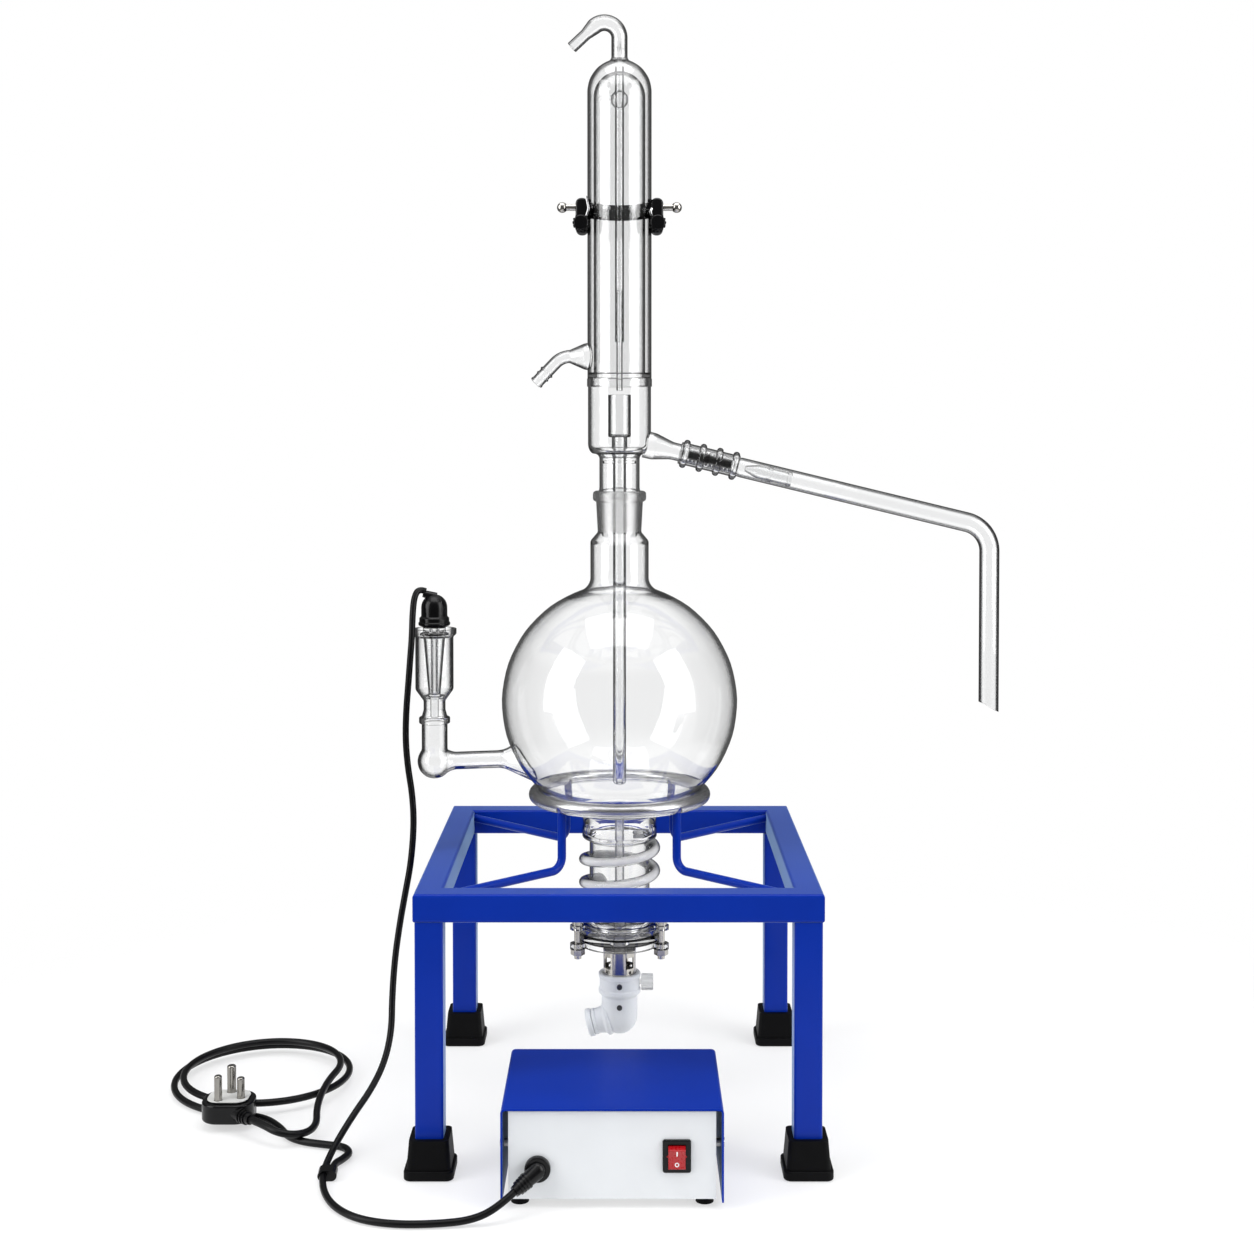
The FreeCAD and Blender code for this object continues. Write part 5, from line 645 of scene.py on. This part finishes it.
def finishes(colours):
    """Every finish of the object by name."""
    surface_group()
    blue = tuple(colours.stand)
    deep = tuple(0.86 * c for c in blue)
    panel = tuple(colours.panel)
    valve = tuple(colours.valve)
    rocker = tuple(colours.rocker)
    return {
        # In each glass finish the second colour is a painted dark outline at grazing angles, painted shade rather than
        # the glass's own tint.
        "ball": glass("Flask Glass", (0.985, 0.987, 0.988), (0.01, 0.011, 0.012), bend=(0.7, 0.95)),
        "clear": glass("Clear Glass", (0.98, 0.981, 0.982), (0.008, 0.008, 0.009), bend=(0.5, 0.82)),
        "tube": glass("Thin Tube Glass", (0.975, 0.977, 0.978), (0.006, 0.006, 0.007), bend=(0.24, 0.62)),
        "thick": glass("Thick Glass", (0.95, 0.953, 0.955), (0.02, 0.02, 0.021), bend=(0.3, 0.7)),
        "coil": glass("Heater Glass", (0.99, 0.99, 0.99), (0.006, 0.006, 0.007), bend=(0.46, 0.78), ior=1.3),
        "frosted": glass("Ground Glass", (0.995, 0.995, 0.995), (0.2, 0.203, 0.208), rough=(0.22, 0.3),
                         bend=(0.66, 0.98)),
        "silicone": glass("Translucent Silicone", (0.99, 0.99, 0.99), (0.3, 0.305, 0.31), rough=(0.2, 0.3),
                          bend=(0.6, 0.96), ior=1.36),
        "grey_knob": glass("Translucent Knob", (0.8, 0.81, 0.82), (0.5, 0.51, 0.53), rough=(0.3, 0.45), ior=1.45),
        "blue": solid("Blue Paint", deep, blue, rough=(0.32, 0.42), scales=(14.0, 900.0), bump=0.06, specular=0.1,
                      coat_weight=0.12, sheen=0.9),
        "box_blue": solid("Box Paint", deep, blue, rough=(0.36, 0.46), scales=(16.0, 1100.0), bump=0.14, specular=0.1,
                          sheen=0.3),
        "panel": solid("Panel Paint", tuple(0.94 * c for c in panel), panel, rough=(0.4, 0.5), bump=0.08),
        "rubber": solid("Black Rubber", (0.001, 0.001, 0.0013), (0.003, 0.003, 0.0034), rough=(0.45, 0.62),
                        scales=(40.0, 1400.0), bump=0.2, specular=0.1),
        "lead": solid("Lead Sheath", (0.001, 0.001, 0.0014), (0.003, 0.003, 0.0035), rough=(0.3, 0.42),
                      scales=(60.0, 1200.0), bump=0.12, specular=0.2),
        "black": solid("Black Plastic", (0.001, 0.001, 0.0014), (0.004, 0.004, 0.0045), rough=(0.18, 0.28),
                       scales=(35.0, 900.0), bump=0.08, specular=0.25),
        "nickel": solid("Nickel Plate", (0.52, 0.5, 0.47), (0.66, 0.64, 0.6), rough=(0.14, 0.26), scales=(50.0, 700.0),
                        bump=0.04, metal=1.0),
        "steel": solid("Bright Steel", (0.6, 0.6, 0.61), (0.74, 0.74, 0.75), rough=(0.18, 0.3), scales=(60.0, 900.0),
                       bump=0.05, metal=1.0),
        "pin": solid("Dark Nickel", (0.26, 0.25, 0.23), (0.38, 0.365, 0.34), rough=(0.1, 0.18), scales=(50.0, 700.0),
                     bump=0.04, metal=1.0),
        "band": solid("Glossy Band", (0.001, 0.001, 0.0014), (0.004, 0.004, 0.0045), rough=(0.06, 0.1), bump=0.02,
                      specular=0.4),
        "zinc": solid("Zinc Sheet", (0.5, 0.51, 0.52), (0.66, 0.67, 0.68), rough=(0.3, 0.45), scales=(40.0, 600.0),
                      bump=0.06, metal=1.0),
        "valve": solid("White Valve Plastic", tuple(0.95 * c for c in valve), valve, rough=(0.24, 0.34),
                       scales=(30.0, 600.0), bump=0.05),
        "rocker": solid("Red Rocker", tuple(0.8 * c for c in rocker), rocker, rough=(0.24, 0.32), bump=0.04,
                        coat_weight=0.05),
        "core": solid("Heater Core", (0.86, 0.86, 0.87), (0.95, 0.95, 0.95), rough=(0.3, 0.5), scales=(60.0, 600.0),
                      bump=0.2),
        "mark": solid("White Mark", (0.8, 0.8, 0.8), (0.9, 0.9, 0.9), rough=(0.4, 0.5), bump=0.02),
        "board": solid("Board Green", (0.01, 0.09, 0.03), (0.02, 0.16, 0.06), rough=(0.35, 0.45), bump=0.05),
        "pale": solid("Plug Face", (0.62, 0.62, 0.6), (0.72, 0.72, 0.7), rough=(0.4, 0.5), bump=0.06),
        "dark_metal": solid("Dark Screw", (0.05, 0.05, 0.055), (0.12, 0.12, 0.125), rough=(0.25, 0.4), bump=0.05,
                            metal=0.8),
    }


FINISH = {}


# Properties

class DistillerColours(bpy.types.PropertyGroup):
    """Colours of the painted and moulded pieces."""
    stand: FloatVectorProperty(name="Stand Paint", description="Colour of the stand's and the box's blue paint",
                               default=(0.0, 0.026, 0.34), min=0, max=1, subtype="COLOR")
    panel: FloatVectorProperty(name="Panel", description="Colour of the control box's front panel",
                               default=(0.76, 0.78, 0.8), min=0, max=1, subtype="COLOR")
    valve: FloatVectorProperty(name="Valve", description="Colour of the drain valve's plastic",
                               default=(0.9, 0.925, 0.95), min=0, max=1, subtype="COLOR")
    rocker: FloatVectorProperty(name="Rocker", description="Colour of the switch's rocker",
                                default=(0.42, 0.006, 0.01), min=0, max=1, subtype="COLOR")


class DistillerLeads(bpy.types.PropertyGroup):
    """Sizes of the leads."""
    probe_width: FloatProperty(name="Probe Lead", description="Width of the lead to the level probe", default=0.0062,
                               min=0.003, max=0.01, unit="LENGTH", subtype="DISTANCE")
    mains_width: FloatProperty(name="Mains Lead", description="Width of the mains lead", default=0.0068, min=0.004,
                               max=0.012, unit="LENGTH", subtype="DISTANCE")


class DistillerStudio(bpy.types.PropertyGroup):
    """Light and camera of the studio."""
    key: FloatProperty(name="Side Lamps", description="Power of the tall lamps at both sides", default=26.0, min=0,
                       max=500, unit="POWER")
    top: FloatProperty(name="Top Lamp", description="Power of the lamp above", default=22.0, min=0, max=500,
                       unit="POWER")
    lens: FloatProperty(name="Lens", description="Focal length of the camera", default=50.055, min=10, max=200,
                        unit="CAMERA")


# Cords: the points of the routes, in metres from the column's axis on the floor

PROBE_ROUTE = [
    (-0.08625, -0.25784, 0.02227), (-0.10028, -0.26886, 0.01325), (-0.121, -0.2715, 0.0046), (-0.150, -0.275, 0.0032),
    (-0.184, -0.276, 0.0032), (-0.214, -0.267, 0.0032), (-0.236, -0.2475, 0.0032), (-0.250, -0.222, 0.0032),
    (-0.2575, -0.195, 0.0047), (-0.2595, -0.167, 0.0052), (-0.254, -0.140, 0.015), (-0.242, -0.115, 0.031),
    (-0.229, -0.095, 0.046), (-0.219, -0.078, 0.065), (-0.2146, -0.062, 0.089), (-0.2156, -0.050, 0.116),
    (-0.2144, -0.040, 0.149), (-0.2104, -0.033, 0.182), (-0.2054, -0.029, 0.211), (-0.2002, -0.025, 0.240),
    (-0.1976, -0.022, 0.277), (-0.1996, -0.0203, 0.306), (-0.2037, -0.0196, 0.330), (-0.206, -0.019, 0.357),
    (-0.2052, -0.0190, 0.385), (-0.2030, -0.0200, 0.410), (-0.2010, -0.0200, 0.436), (-0.1995, -0.0185, 0.456),
    (-0.1995, -0.0130, 0.478), (-0.1985, -0.007, 0.494), (-0.1945, -0.002, 0.5010), (-0.1885, 0.0, 0.4985)]
MAINS_START = [
    (-0.25157, -0.174, 0.00508), (-0.25234, -0.16303, 0.0053), (-0.247, -0.151, 0.0042), (-0.242, -0.1355, 0.0037),
    (-0.250, -0.122, 0.0037), (-0.2675, -0.1175, 0.0037), (-0.289, -0.1115, 0.0037), (-0.305, -0.100, 0.0037),
    (-0.317, -0.078, 0.0037), (-0.334, -0.0575, 0.0037), (-0.3546, -0.0481, 0.00353)]
MAINS_END = [
    (-0.2860, 0.0050, 0.01671), (-0.287, -0.034, 0.0166), (-0.286, -0.060, 0.013), (-0.2815, -0.084, 0.010),
    (-0.285, -0.1025, 0.0094), (-0.297, -0.114, 0.011), (-0.313, -0.115, 0.014), (-0.32674, -0.10482, 0.0168),
    (-0.34119, -0.09248, 0.0168)]


def coil_points():
    """The points of the mains lead's loose coil, twelve to a turn."""
    middle, start, radius, drift, low, climb, turns, share = (-0.356, 0.0435), -100.0, 0.090, 0.009, 0.00375, 0.0072, 1.75, 12
    points = []
    for i in range(round(turns * share)):
        turn = (i + 0.5) / share
        angle = math.radians(start - 360 * turn)
        reach = (radius - drift * turn) / math.cos(math.pi / share)
        points.append((middle[0] + reach * math.cos(angle), middle[1] + reach * math.sin(angle), low + climb * turn))
    return points


def cord_curve(name, points, width, nodes):
    """A round cord along a smooth line."""
    data = bpy.data.curves.new(name, "CURVE")
    data.dimensions = "3D"
    data.bevel_depth = width / 2
    data.bevel_resolution = 5
    data.resolution_u = 10
    data.use_fill_caps = True
    spline = data.splines.new("NURBS")
    spline.points.add(len(points) - 1)
    for point, place in zip(spline.points, points):
        point.co = (*(AXIS + Vector(place)), 1)
    spline.order_u = 3
    spline.use_endpoint_u = True
    data.materials.append(FINISH["lead"])
    made = bpy.data.objects.new(name, data)
    bpy.context.scene.collection.objects.link(made)
    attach(made, "base")
    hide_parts(*nodes)
    return made


class DISTILLER_OT_camera(bpy.types.Operator):
    """Place the camera at the photograph's viewing angle"""
    bl_idname = "distiller.camera"
    bl_label = "Camera"

    def execute(self, context):
        data = bpy.data.cameras.new("camera")
        data.lens = context.scene.distiller_studio.lens
        data.shift_y = -0.12
        made = bpy.data.objects.new("camera", data)
        context.scene.collection.objects.link(made)
        made.location = spot(7.26, -1689.7, 657.4)
        made.rotation_euler = (math.radians(90 - 1.611), 0, 0)
        context.scene.camera = made
        return {"FINISHED"}


class DISTILLER_OT_leads(bpy.types.Operator):
    """Build the probe lead, the mains lead with its coil, and what is fixed to them"""
    bl_idname = "distiller.leads"
    bl_label = "Leads"

    def execute(self, context):
        sizes = context.scene.distiller_leads
        probe = cord_curve("probe_lead_cord", PROBE_ROUTE, sizes.probe_width, ["probe_lead"])
        mains = cord_curve("mains_lead_cord", MAINS_START + coil_points() + MAINS_END, sizes.mains_width,
                           ["mains_lead", "mains_coil", "mains_lead_end"])
        plate = piece("plug_plate", plug_plate(), "base", FINISH["pale"])
        coat(FINISH["black"], "plug_body", "plug_boot", "lead_splitter")
        coat(FINISH["pin"], "plug_pins")
        return {"FINISHED"}


class DISTILLER_OT_stand(bpy.types.Operator):
    """Finish the welded stand and its rubber feet"""
    bl_idname = "distiller.stand"
    bl_label = "Stand"

    def execute(self, context):
        coat(FINISH["blue"], "front_rail", "back_rail", "left_rail", "right_rail", "front_left_leg", "front_right_leg",
             "back_left_leg", "back_right_leg", "support_rods")
        coat(FINISH["rubber"], "rubber_feet")
        coat(FINISH["steel"], "support_ring")
        coat(FINISH["silicone"], "ring_cushion")
        return {"FINISHED"}


class DISTILLER_OT_glass(bpy.types.Operator):
    """Build the flask, the head, the condenser, the coupling and the delivery tube"""
    bl_idname = "distiller.glass"
    bl_label = "Glassware"

    def execute(self, context):
        ball, clear, frosted, tube = (FINISH[name] for name in ("ball", "clear", "frosted", "tube"))
        piece("flask", flask_glass(), "base", [ball, clear, frosted, tube], ["boiling_flask"], choose=flask_zone)
        piece("head", head_glass(), "head", [clear, frosted, tube], ["vapour_head"], choose=head_zone)
        piece("feed_cup_and_tube", feed_glass(), "head", tube, ["feed_tube"])
        piece("jacket", jacket_glass(), "condenser", [clear, tube], ["condenser_jacket"], choose=jacket_zone)
        piece("inner_tube", condenser_core(), "condenser", clear, ["condenser_tube"])
        piece("downcomer", downcomer_glass(), "condenser", tube, ["water_downcomer"])
        drip = turned([(1.9, 693, 0), (3, 693, 0.5), (3, 790, 0.5), (1.9, 790, 0)], 48, loop=True)
        piece("drip", drip, "condenser", tube, ["drip_tube"])
        piece("delivery", delivery_glass(), "delivery", tube, ["delivery_tube"])
        piece("sleeve", sleeve_glass(), "head", tube, ["coupling_sleeve"])
        piece("bush", bush_coil(), "head", FINISH["black"], ["coupling_bush"])
        piece("heater", heater_coil(4.8, 32), "base", FINISH["coil"], ["heater_coil"])
        piece("heater_core", heater_coil(2.9, 20), "base", FINISH["core"], ["heater_coil"])
        sheath = turned([(0, 376, 0), (4, 376, 1.6), (4, 394.6, 0), (10.2, 394.6, 0.7), (10.2, 397.4, 0.7), (6, 397.4, 0),
                         (6, 402, 4), (10.6, 455, 0), (9.4, 455, 0), (4.8, 402, 4), (4.8, 398, 1.6), (0, 398, 0)], 96,
                        place=LIMB_AT)
        piece("sheath", sheath, "base", tube, ["probe_sheath"])
        return {"FINISHED"}


class DISTILLER_OT_probe(bpy.types.Operator):
    """Finish the level probe"""
    bl_idname = "distiller.probe"
    bl_label = "Level Probe"

    def execute(self, context):
        coat(FINISH["steel"], "electrodes")
        disc = turned([(0, 455, 0), (13.9, 455, 0.8), (13.9, 458, 0.8), (0, 458, 0)], 72, place=LIMB_AT)
        neck = turned([(0, 458.05, 0), (12.2, 458.05, 0.4), (11, 460, 1.5), (11, 463, 1.5), (12.4, 465, 0), (0, 465, 0)],
                      72, place=LIMB_AT)
        piece("probe_disc", disc, "base", FINISH["black"], ["probe_stopper"])
        piece("probe_neck", neck, "base", FINISH["silicone"], ["probe_stopper"])
        piece("probe_dome", cap_shell(), "base", FINISH["black"], ["probe_cap"])
        return {"FINISHED"}


class DISTILLER_OT_closure(bpy.types.Operator):
    """Finish the flask's bottom closure and the drain valve"""
    bl_idname = "distiller.closure"
    bl_label = "Bottom Closure and Valve"

    def execute(self, context):
        coat(FINISH["nickel"], "flange_studs", "adapter_sleeve")
        coat(FINISH["thick"], "closure_plate", "clamp_ring", "backing_ring")
        coat(FINISH["frosted"], "drain_tube")
        coat(FINISH["silicone"], "flange_gasket")
        piece("valve_body", valve_shell(), "base", FINISH["valve"], ["drain_valve_body"], smooth=50.0)
        piece("valve_cap", valve_cap(), "base", FINISH["valve"], ["drain_cap"])
        coat(FINISH["grey_knob"], "drain_knob")
        coat(FINISH["dark_metal"], "valve_screws")
        return {"FINISHED"}


class DISTILLER_OT_clamp(bpy.types.Operator):
    """Finish the clamp round the condenser"""
    bl_idname = "distiller.clamp"
    bl_label = "Condenser Clamp"

    def execute(self, context):
        coat(FINISH["band"], "clamp_band")
        coat(FINISH["black"], "left_clamp_knob", "right_clamp_knob")
        piece("clamp_springs", clamp_springs(), "condenser", FINISH["steel"])
        coat(FINISH["nickel"], "left_clamp_rod", "right_clamp_rod")
        return {"FINISHED"}


class DISTILLER_OT_box(bpy.types.Operator):
    """Finish the control box, its switch and its cable gland"""
    bl_idname = "distiller.box"
    bl_label = "Control Box"

    def execute(self, context):
        coat(FINISH["box_blue"], "box_cover")
        coat(FINISH["zinc"], "box_chassis")
        coat(FINISH["panel"], "front_panel")
        coat(FINISH["rubber"], "box_feet")
        coat(FINISH["steel"], "cover_screws")
        coat(FINISH["black"], "cable_gland", "switch_bezel")
        coat(FINISH["rocker"], "switch_rocker")
        piece("rocker_marks", rocker_marks(), "rocker", FINISH["mark"])
        coat(FINISH["board"], "control_board")
        return {"FINISHED"}


def lamp(name, power, size, place, aim):
    """A soft rectangular lamp that looks at a point."""
    data = bpy.data.lights.new(name, "AREA")
    data.shape = "RECTANGLE"
    data.size, data.size_y = size
    data.energy = power
    made = bpy.data.objects.new(name, data)
    bpy.context.scene.collection.objects.link(made)
    made.location = place
    made.rotation_mode = "QUATERNION"
    made.rotation_quaternion = (Vector(aim) - Vector(place)).to_track_quat("-Z", "Y")


def room():
    """The world: white behind the object and in its glass, a soft room in its gloss, and even light."""
    world = bpy.data.worlds.new("Studio")
    bpy.context.scene.world = world
    world.use_nodes = True
    nodes, links = world.node_tree.nodes, world.node_tree.links
    out = nodes["World Output"]
    seen, light = nodes["Background"], nodes.new("ShaderNodeBackground")
    light.inputs["Color"].default_value = (0.98, 0.99, 1, 1)
    light.inputs["Strength"].default_value = 0.5
    place, split = nodes.new("ShaderNodeTexCoord"), nodes.new("ShaderNodeSeparateXYZ")
    links.new(place.outputs["Generated"], split.inputs[0])
    walls, ceiling = nodes.new("ShaderNodeMath"), nodes.new("ShaderNodeMapRange")
    walls.operation = "ABSOLUTE"
    links.new(split.outputs["X"], walls.inputs[0])
    windows, front = nodes.new("ShaderNodeMapRange"), nodes.new("ShaderNodeMapRange")
    windows.interpolation_type = front.interpolation_type = ceiling.interpolation_type = "SMOOTHSTEP"
    windows.inputs["From Min"].default_value, windows.inputs["From Max"].default_value = 0.72, 0.84
    front.inputs["From Min"].default_value, front.inputs["From Max"].default_value = -0.22, -0.06
    front.inputs["To Min"].default_value, front.inputs["To Max"].default_value = 1.0, 0.0
    both, lit = nodes.new("ShaderNodeMath"), nodes.new("ShaderNodeMath")
    both.operation, lit.operation = "MULTIPLY", "MULTIPLY_ADD"
    lit.inputs[1].default_value, lit.inputs[2].default_value = 0.7, 0.12
    ceiling.inputs["From Min"].default_value, ceiling.inputs["From Max"].default_value = 0.45, 0.8
    ceiling.inputs["To Max"].default_value = 0.75
    links.new(walls.outputs[0], windows.inputs["Value"])
    links.new(split.outputs["Z"], ceiling.inputs["Value"])
    links.new(split.outputs["Y"], front.inputs["Value"])
    links.new(windows.outputs["Result"], both.inputs[0])
    links.new(front.outputs["Result"], both.inputs[1])
    links.new(both.outputs[0], lit.inputs[0])
    depth = nodes.new("ShaderNodeMath")
    depth.operation = "MAXIMUM"
    links.new(lit.outputs[0], depth.inputs[0])
    links.new(ceiling.outputs["Result"], depth.inputs[1])
    path, mix = nodes.new("ShaderNodeLightPath"), nodes.new("ShaderNodeMixShader")
    plain, shown = nodes.new("ShaderNodeMath"), nodes.new("ShaderNodeMath")
    plain.operation = shown.operation = "MAXIMUM"
    links.new(path.outputs["Is Camera Ray"], plain.inputs[0])
    links.new(path.outputs["Is Transmission Ray"], plain.inputs[1])
    links.new(plain.outputs[0], shown.inputs[0])
    links.new(path.outputs["Is Glossy Ray"], shown.inputs[1])
    fresh, straight = nodes.new("ShaderNodeMath"), nodes.new("ShaderNodeMath")
    fresh.operation, straight.operation = "LESS_THAN", "MULTIPLY"
    fresh.inputs[1].default_value = 0.5
    links.new(path.outputs["Glossy Depth"], fresh.inputs[0])
    links.new(plain.outputs[0], straight.inputs[0])
    links.new(fresh.outputs[0], straight.inputs[1])
    tint = nodes.new("ShaderNodeMix")
    tint.data_type = "RGBA"
    tint.inputs["B"].default_value = (1, 1, 1, 1)
    links.new(straight.outputs[0], tint.inputs["Factor"])
    links.new(depth.outputs[0], tint.inputs["A"])
    links.new(tint.outputs["Result"], seen.inputs["Color"])
    links.new(shown.outputs[0], mix.inputs["Fac"])
    links.new(light.outputs[0], mix.inputs[1])
    links.new(seen.outputs[0], mix.inputs[2])
    links.new(mix.outputs[0], out.inputs["Surface"])


def paper_finish():
    """White paper that is seen lighter than it shades, and thins out to nothing a stride away."""
    made, tree, shader = blank("Studio Paper")
    nodes, links = tree.nodes, tree.links
    _, ramp = varied(tree, shader, ((0.84, 0.84, 0.84), (0.88, 0.88, 0.88)), (0.7, 0.8), (3.0, 60.0), 1.0, 0.0)
    shader.inputs["Specular IOR Level"].default_value = 0.1
    path, seen, tone = nodes.new("ShaderNodeLightPath"), nodes.new("ShaderNodeMath"), nodes.new("ShaderNodeMix")
    through = nodes.new("ShaderNodeMath")
    seen.operation = through.operation = "MAXIMUM"
    tone.data_type = "RGBA"
    tone.inputs["B"].default_value = (PAPER_SHADE, PAPER_SHADE, PAPER_SHADE, 1)
    links.new(path.outputs["Is Camera Ray"], seen.inputs[0])
    links.new(path.outputs["Is Transmission Ray"], seen.inputs[1])
    links.new(seen.outputs[0], through.inputs[0])
    links.new(path.outputs["Is Glossy Ray"], through.inputs[1])
    links.new(through.outputs[0], tone.inputs["Factor"])
    links.new(ramp.outputs["Color"], tone.inputs["A"])
    links.new(tone.outputs["Result"], shader.inputs["Base Color"])
    glow = nodes.new("ShaderNodeMath")
    glow.operation = "MULTIPLY"
    glow.inputs[1].default_value = 1 - PAPER_SHADE
    links.new(through.outputs[0], glow.inputs[0])
    links.new(glow.outputs[0], shader.inputs["Emission Strength"])
    shader.inputs["Emission Color"].default_value = (1, 1, 1, 1)
    place, reach = nodes.new("ShaderNodeTexCoord"), nodes.new("ShaderNodeVectorMath")
    fade = nodes.new("ShaderNodeMapRange")
    reach.operation = "LENGTH"
    fade.interpolation_type = "SMOOTHSTEP"
    fade.inputs["From Min"].default_value, fade.inputs["From Max"].default_value = 0.42, 0.95
    fade.inputs["To Min"].default_value, fade.inputs["To Max"].default_value = 1.0, 0.0
    links.new(place.outputs["Object"], reach.inputs[0])
    links.new(reach.outputs["Value"], fade.inputs["Value"])
    links.new(fade.outputs["Result"], shader.inputs["Alpha"])
    return made


class DISTILLER_OT_stage(bpy.types.Operator):
    """Lay the floor and hang the lamps"""
    bl_idname = "distiller.stage"
    bl_label = "Stage"

    def execute(self, context):
        scene = context.scene
        scene.view_settings.view_transform = "Standard"
        scene.cycles.max_bounces = 40
        scene.cycles.transmission_bounces = 36
        scene.cycles.transparent_max_bounces = 16
        room()
        mesh = bmesh.new()
        bmesh.ops.create_grid(mesh, x_segments=1, y_segments=1, size=6.0)
        data = bpy.data.meshes.new("floor")
        mesh.to_mesh(data)
        mesh.free()
        data.materials.append(paper_finish())
        floor = bpy.data.objects.new("floor", data)
        scene.collection.objects.link(floor)
        floor.location = (0, 0, -0.0005)
        power = scene.distiller_studio
        aim = spot(0, 0, 450)
        lamp("left_lamp", power.key, (1.1, 1.9), spot(-1700, -900, 1100), aim)
        lamp("right_lamp", power.key, (1.1, 1.9), spot(1700, -900, 1100), aim)
        lamp("top_lamp", power.top, (1.8, 1.4), spot(0, -300, 2300), aim)
        return {"FINISHED"}


STEPS = (DISTILLER_OT_camera, DISTILLER_OT_leads, DISTILLER_OT_stand, DISTILLER_OT_glass, DISTILLER_OT_probe,
         DISTILLER_OT_closure, DISTILLER_OT_clamp, DISTILLER_OT_box, DISTILLER_OT_stage)


class DISTILLER_PT_panel(bpy.types.Panel):
    """The distiller's pieces, one button each"""
    bl_idname = "DISTILLER_PT_panel"
    bl_label = "Glass Water Distiller"
    bl_space_type = "VIEW_3D"
    bl_region_type = "UI"
    bl_category = "Distiller"

    def draw(self, context):
        for settings in (context.scene.distiller_colours, context.scene.distiller_leads,
                         context.scene.distiller_studio):
            for name in settings.__annotations__:
                self.layout.prop(settings, name)
        for step in STEPS:
            self.layout.operator(step.bl_idname)


GROUPS = {"distiller_colours": DistillerColours, "distiller_leads": DistillerLeads, "distiller_studio": DistillerStudio}


def register():
    """Register the settings, the operators and the panel."""
    for name, settings in GROUPS.items():
        bpy.utils.register_class(settings)
        setattr(bpy.types.Scene, name, PointerProperty(type=settings))
    for step in STEPS:
        bpy.utils.register_class(step)
    bpy.utils.register_class(DISTILLER_PT_panel)


def unregister():
    """Take the panel, the operators and the settings off again."""
    bpy.utils.unregister_class(DISTILLER_PT_panel)
    for step in reversed(STEPS):
        bpy.utils.unregister_class(step)
    for name, settings in GROUPS.items():
        delattr(bpy.types.Scene, name)
        bpy.utils.unregister_class(settings)


def main():
    """Build every piece in order."""
    register()
    FINISH.update(finishes(bpy.context.scene.distiller_colours))
    for step in STEPS:
        group_name, operator = step.bl_idname.split(".")
        getattr(getattr(bpy.ops, group_name), operator)()


if __name__ == "__main__":
    main()
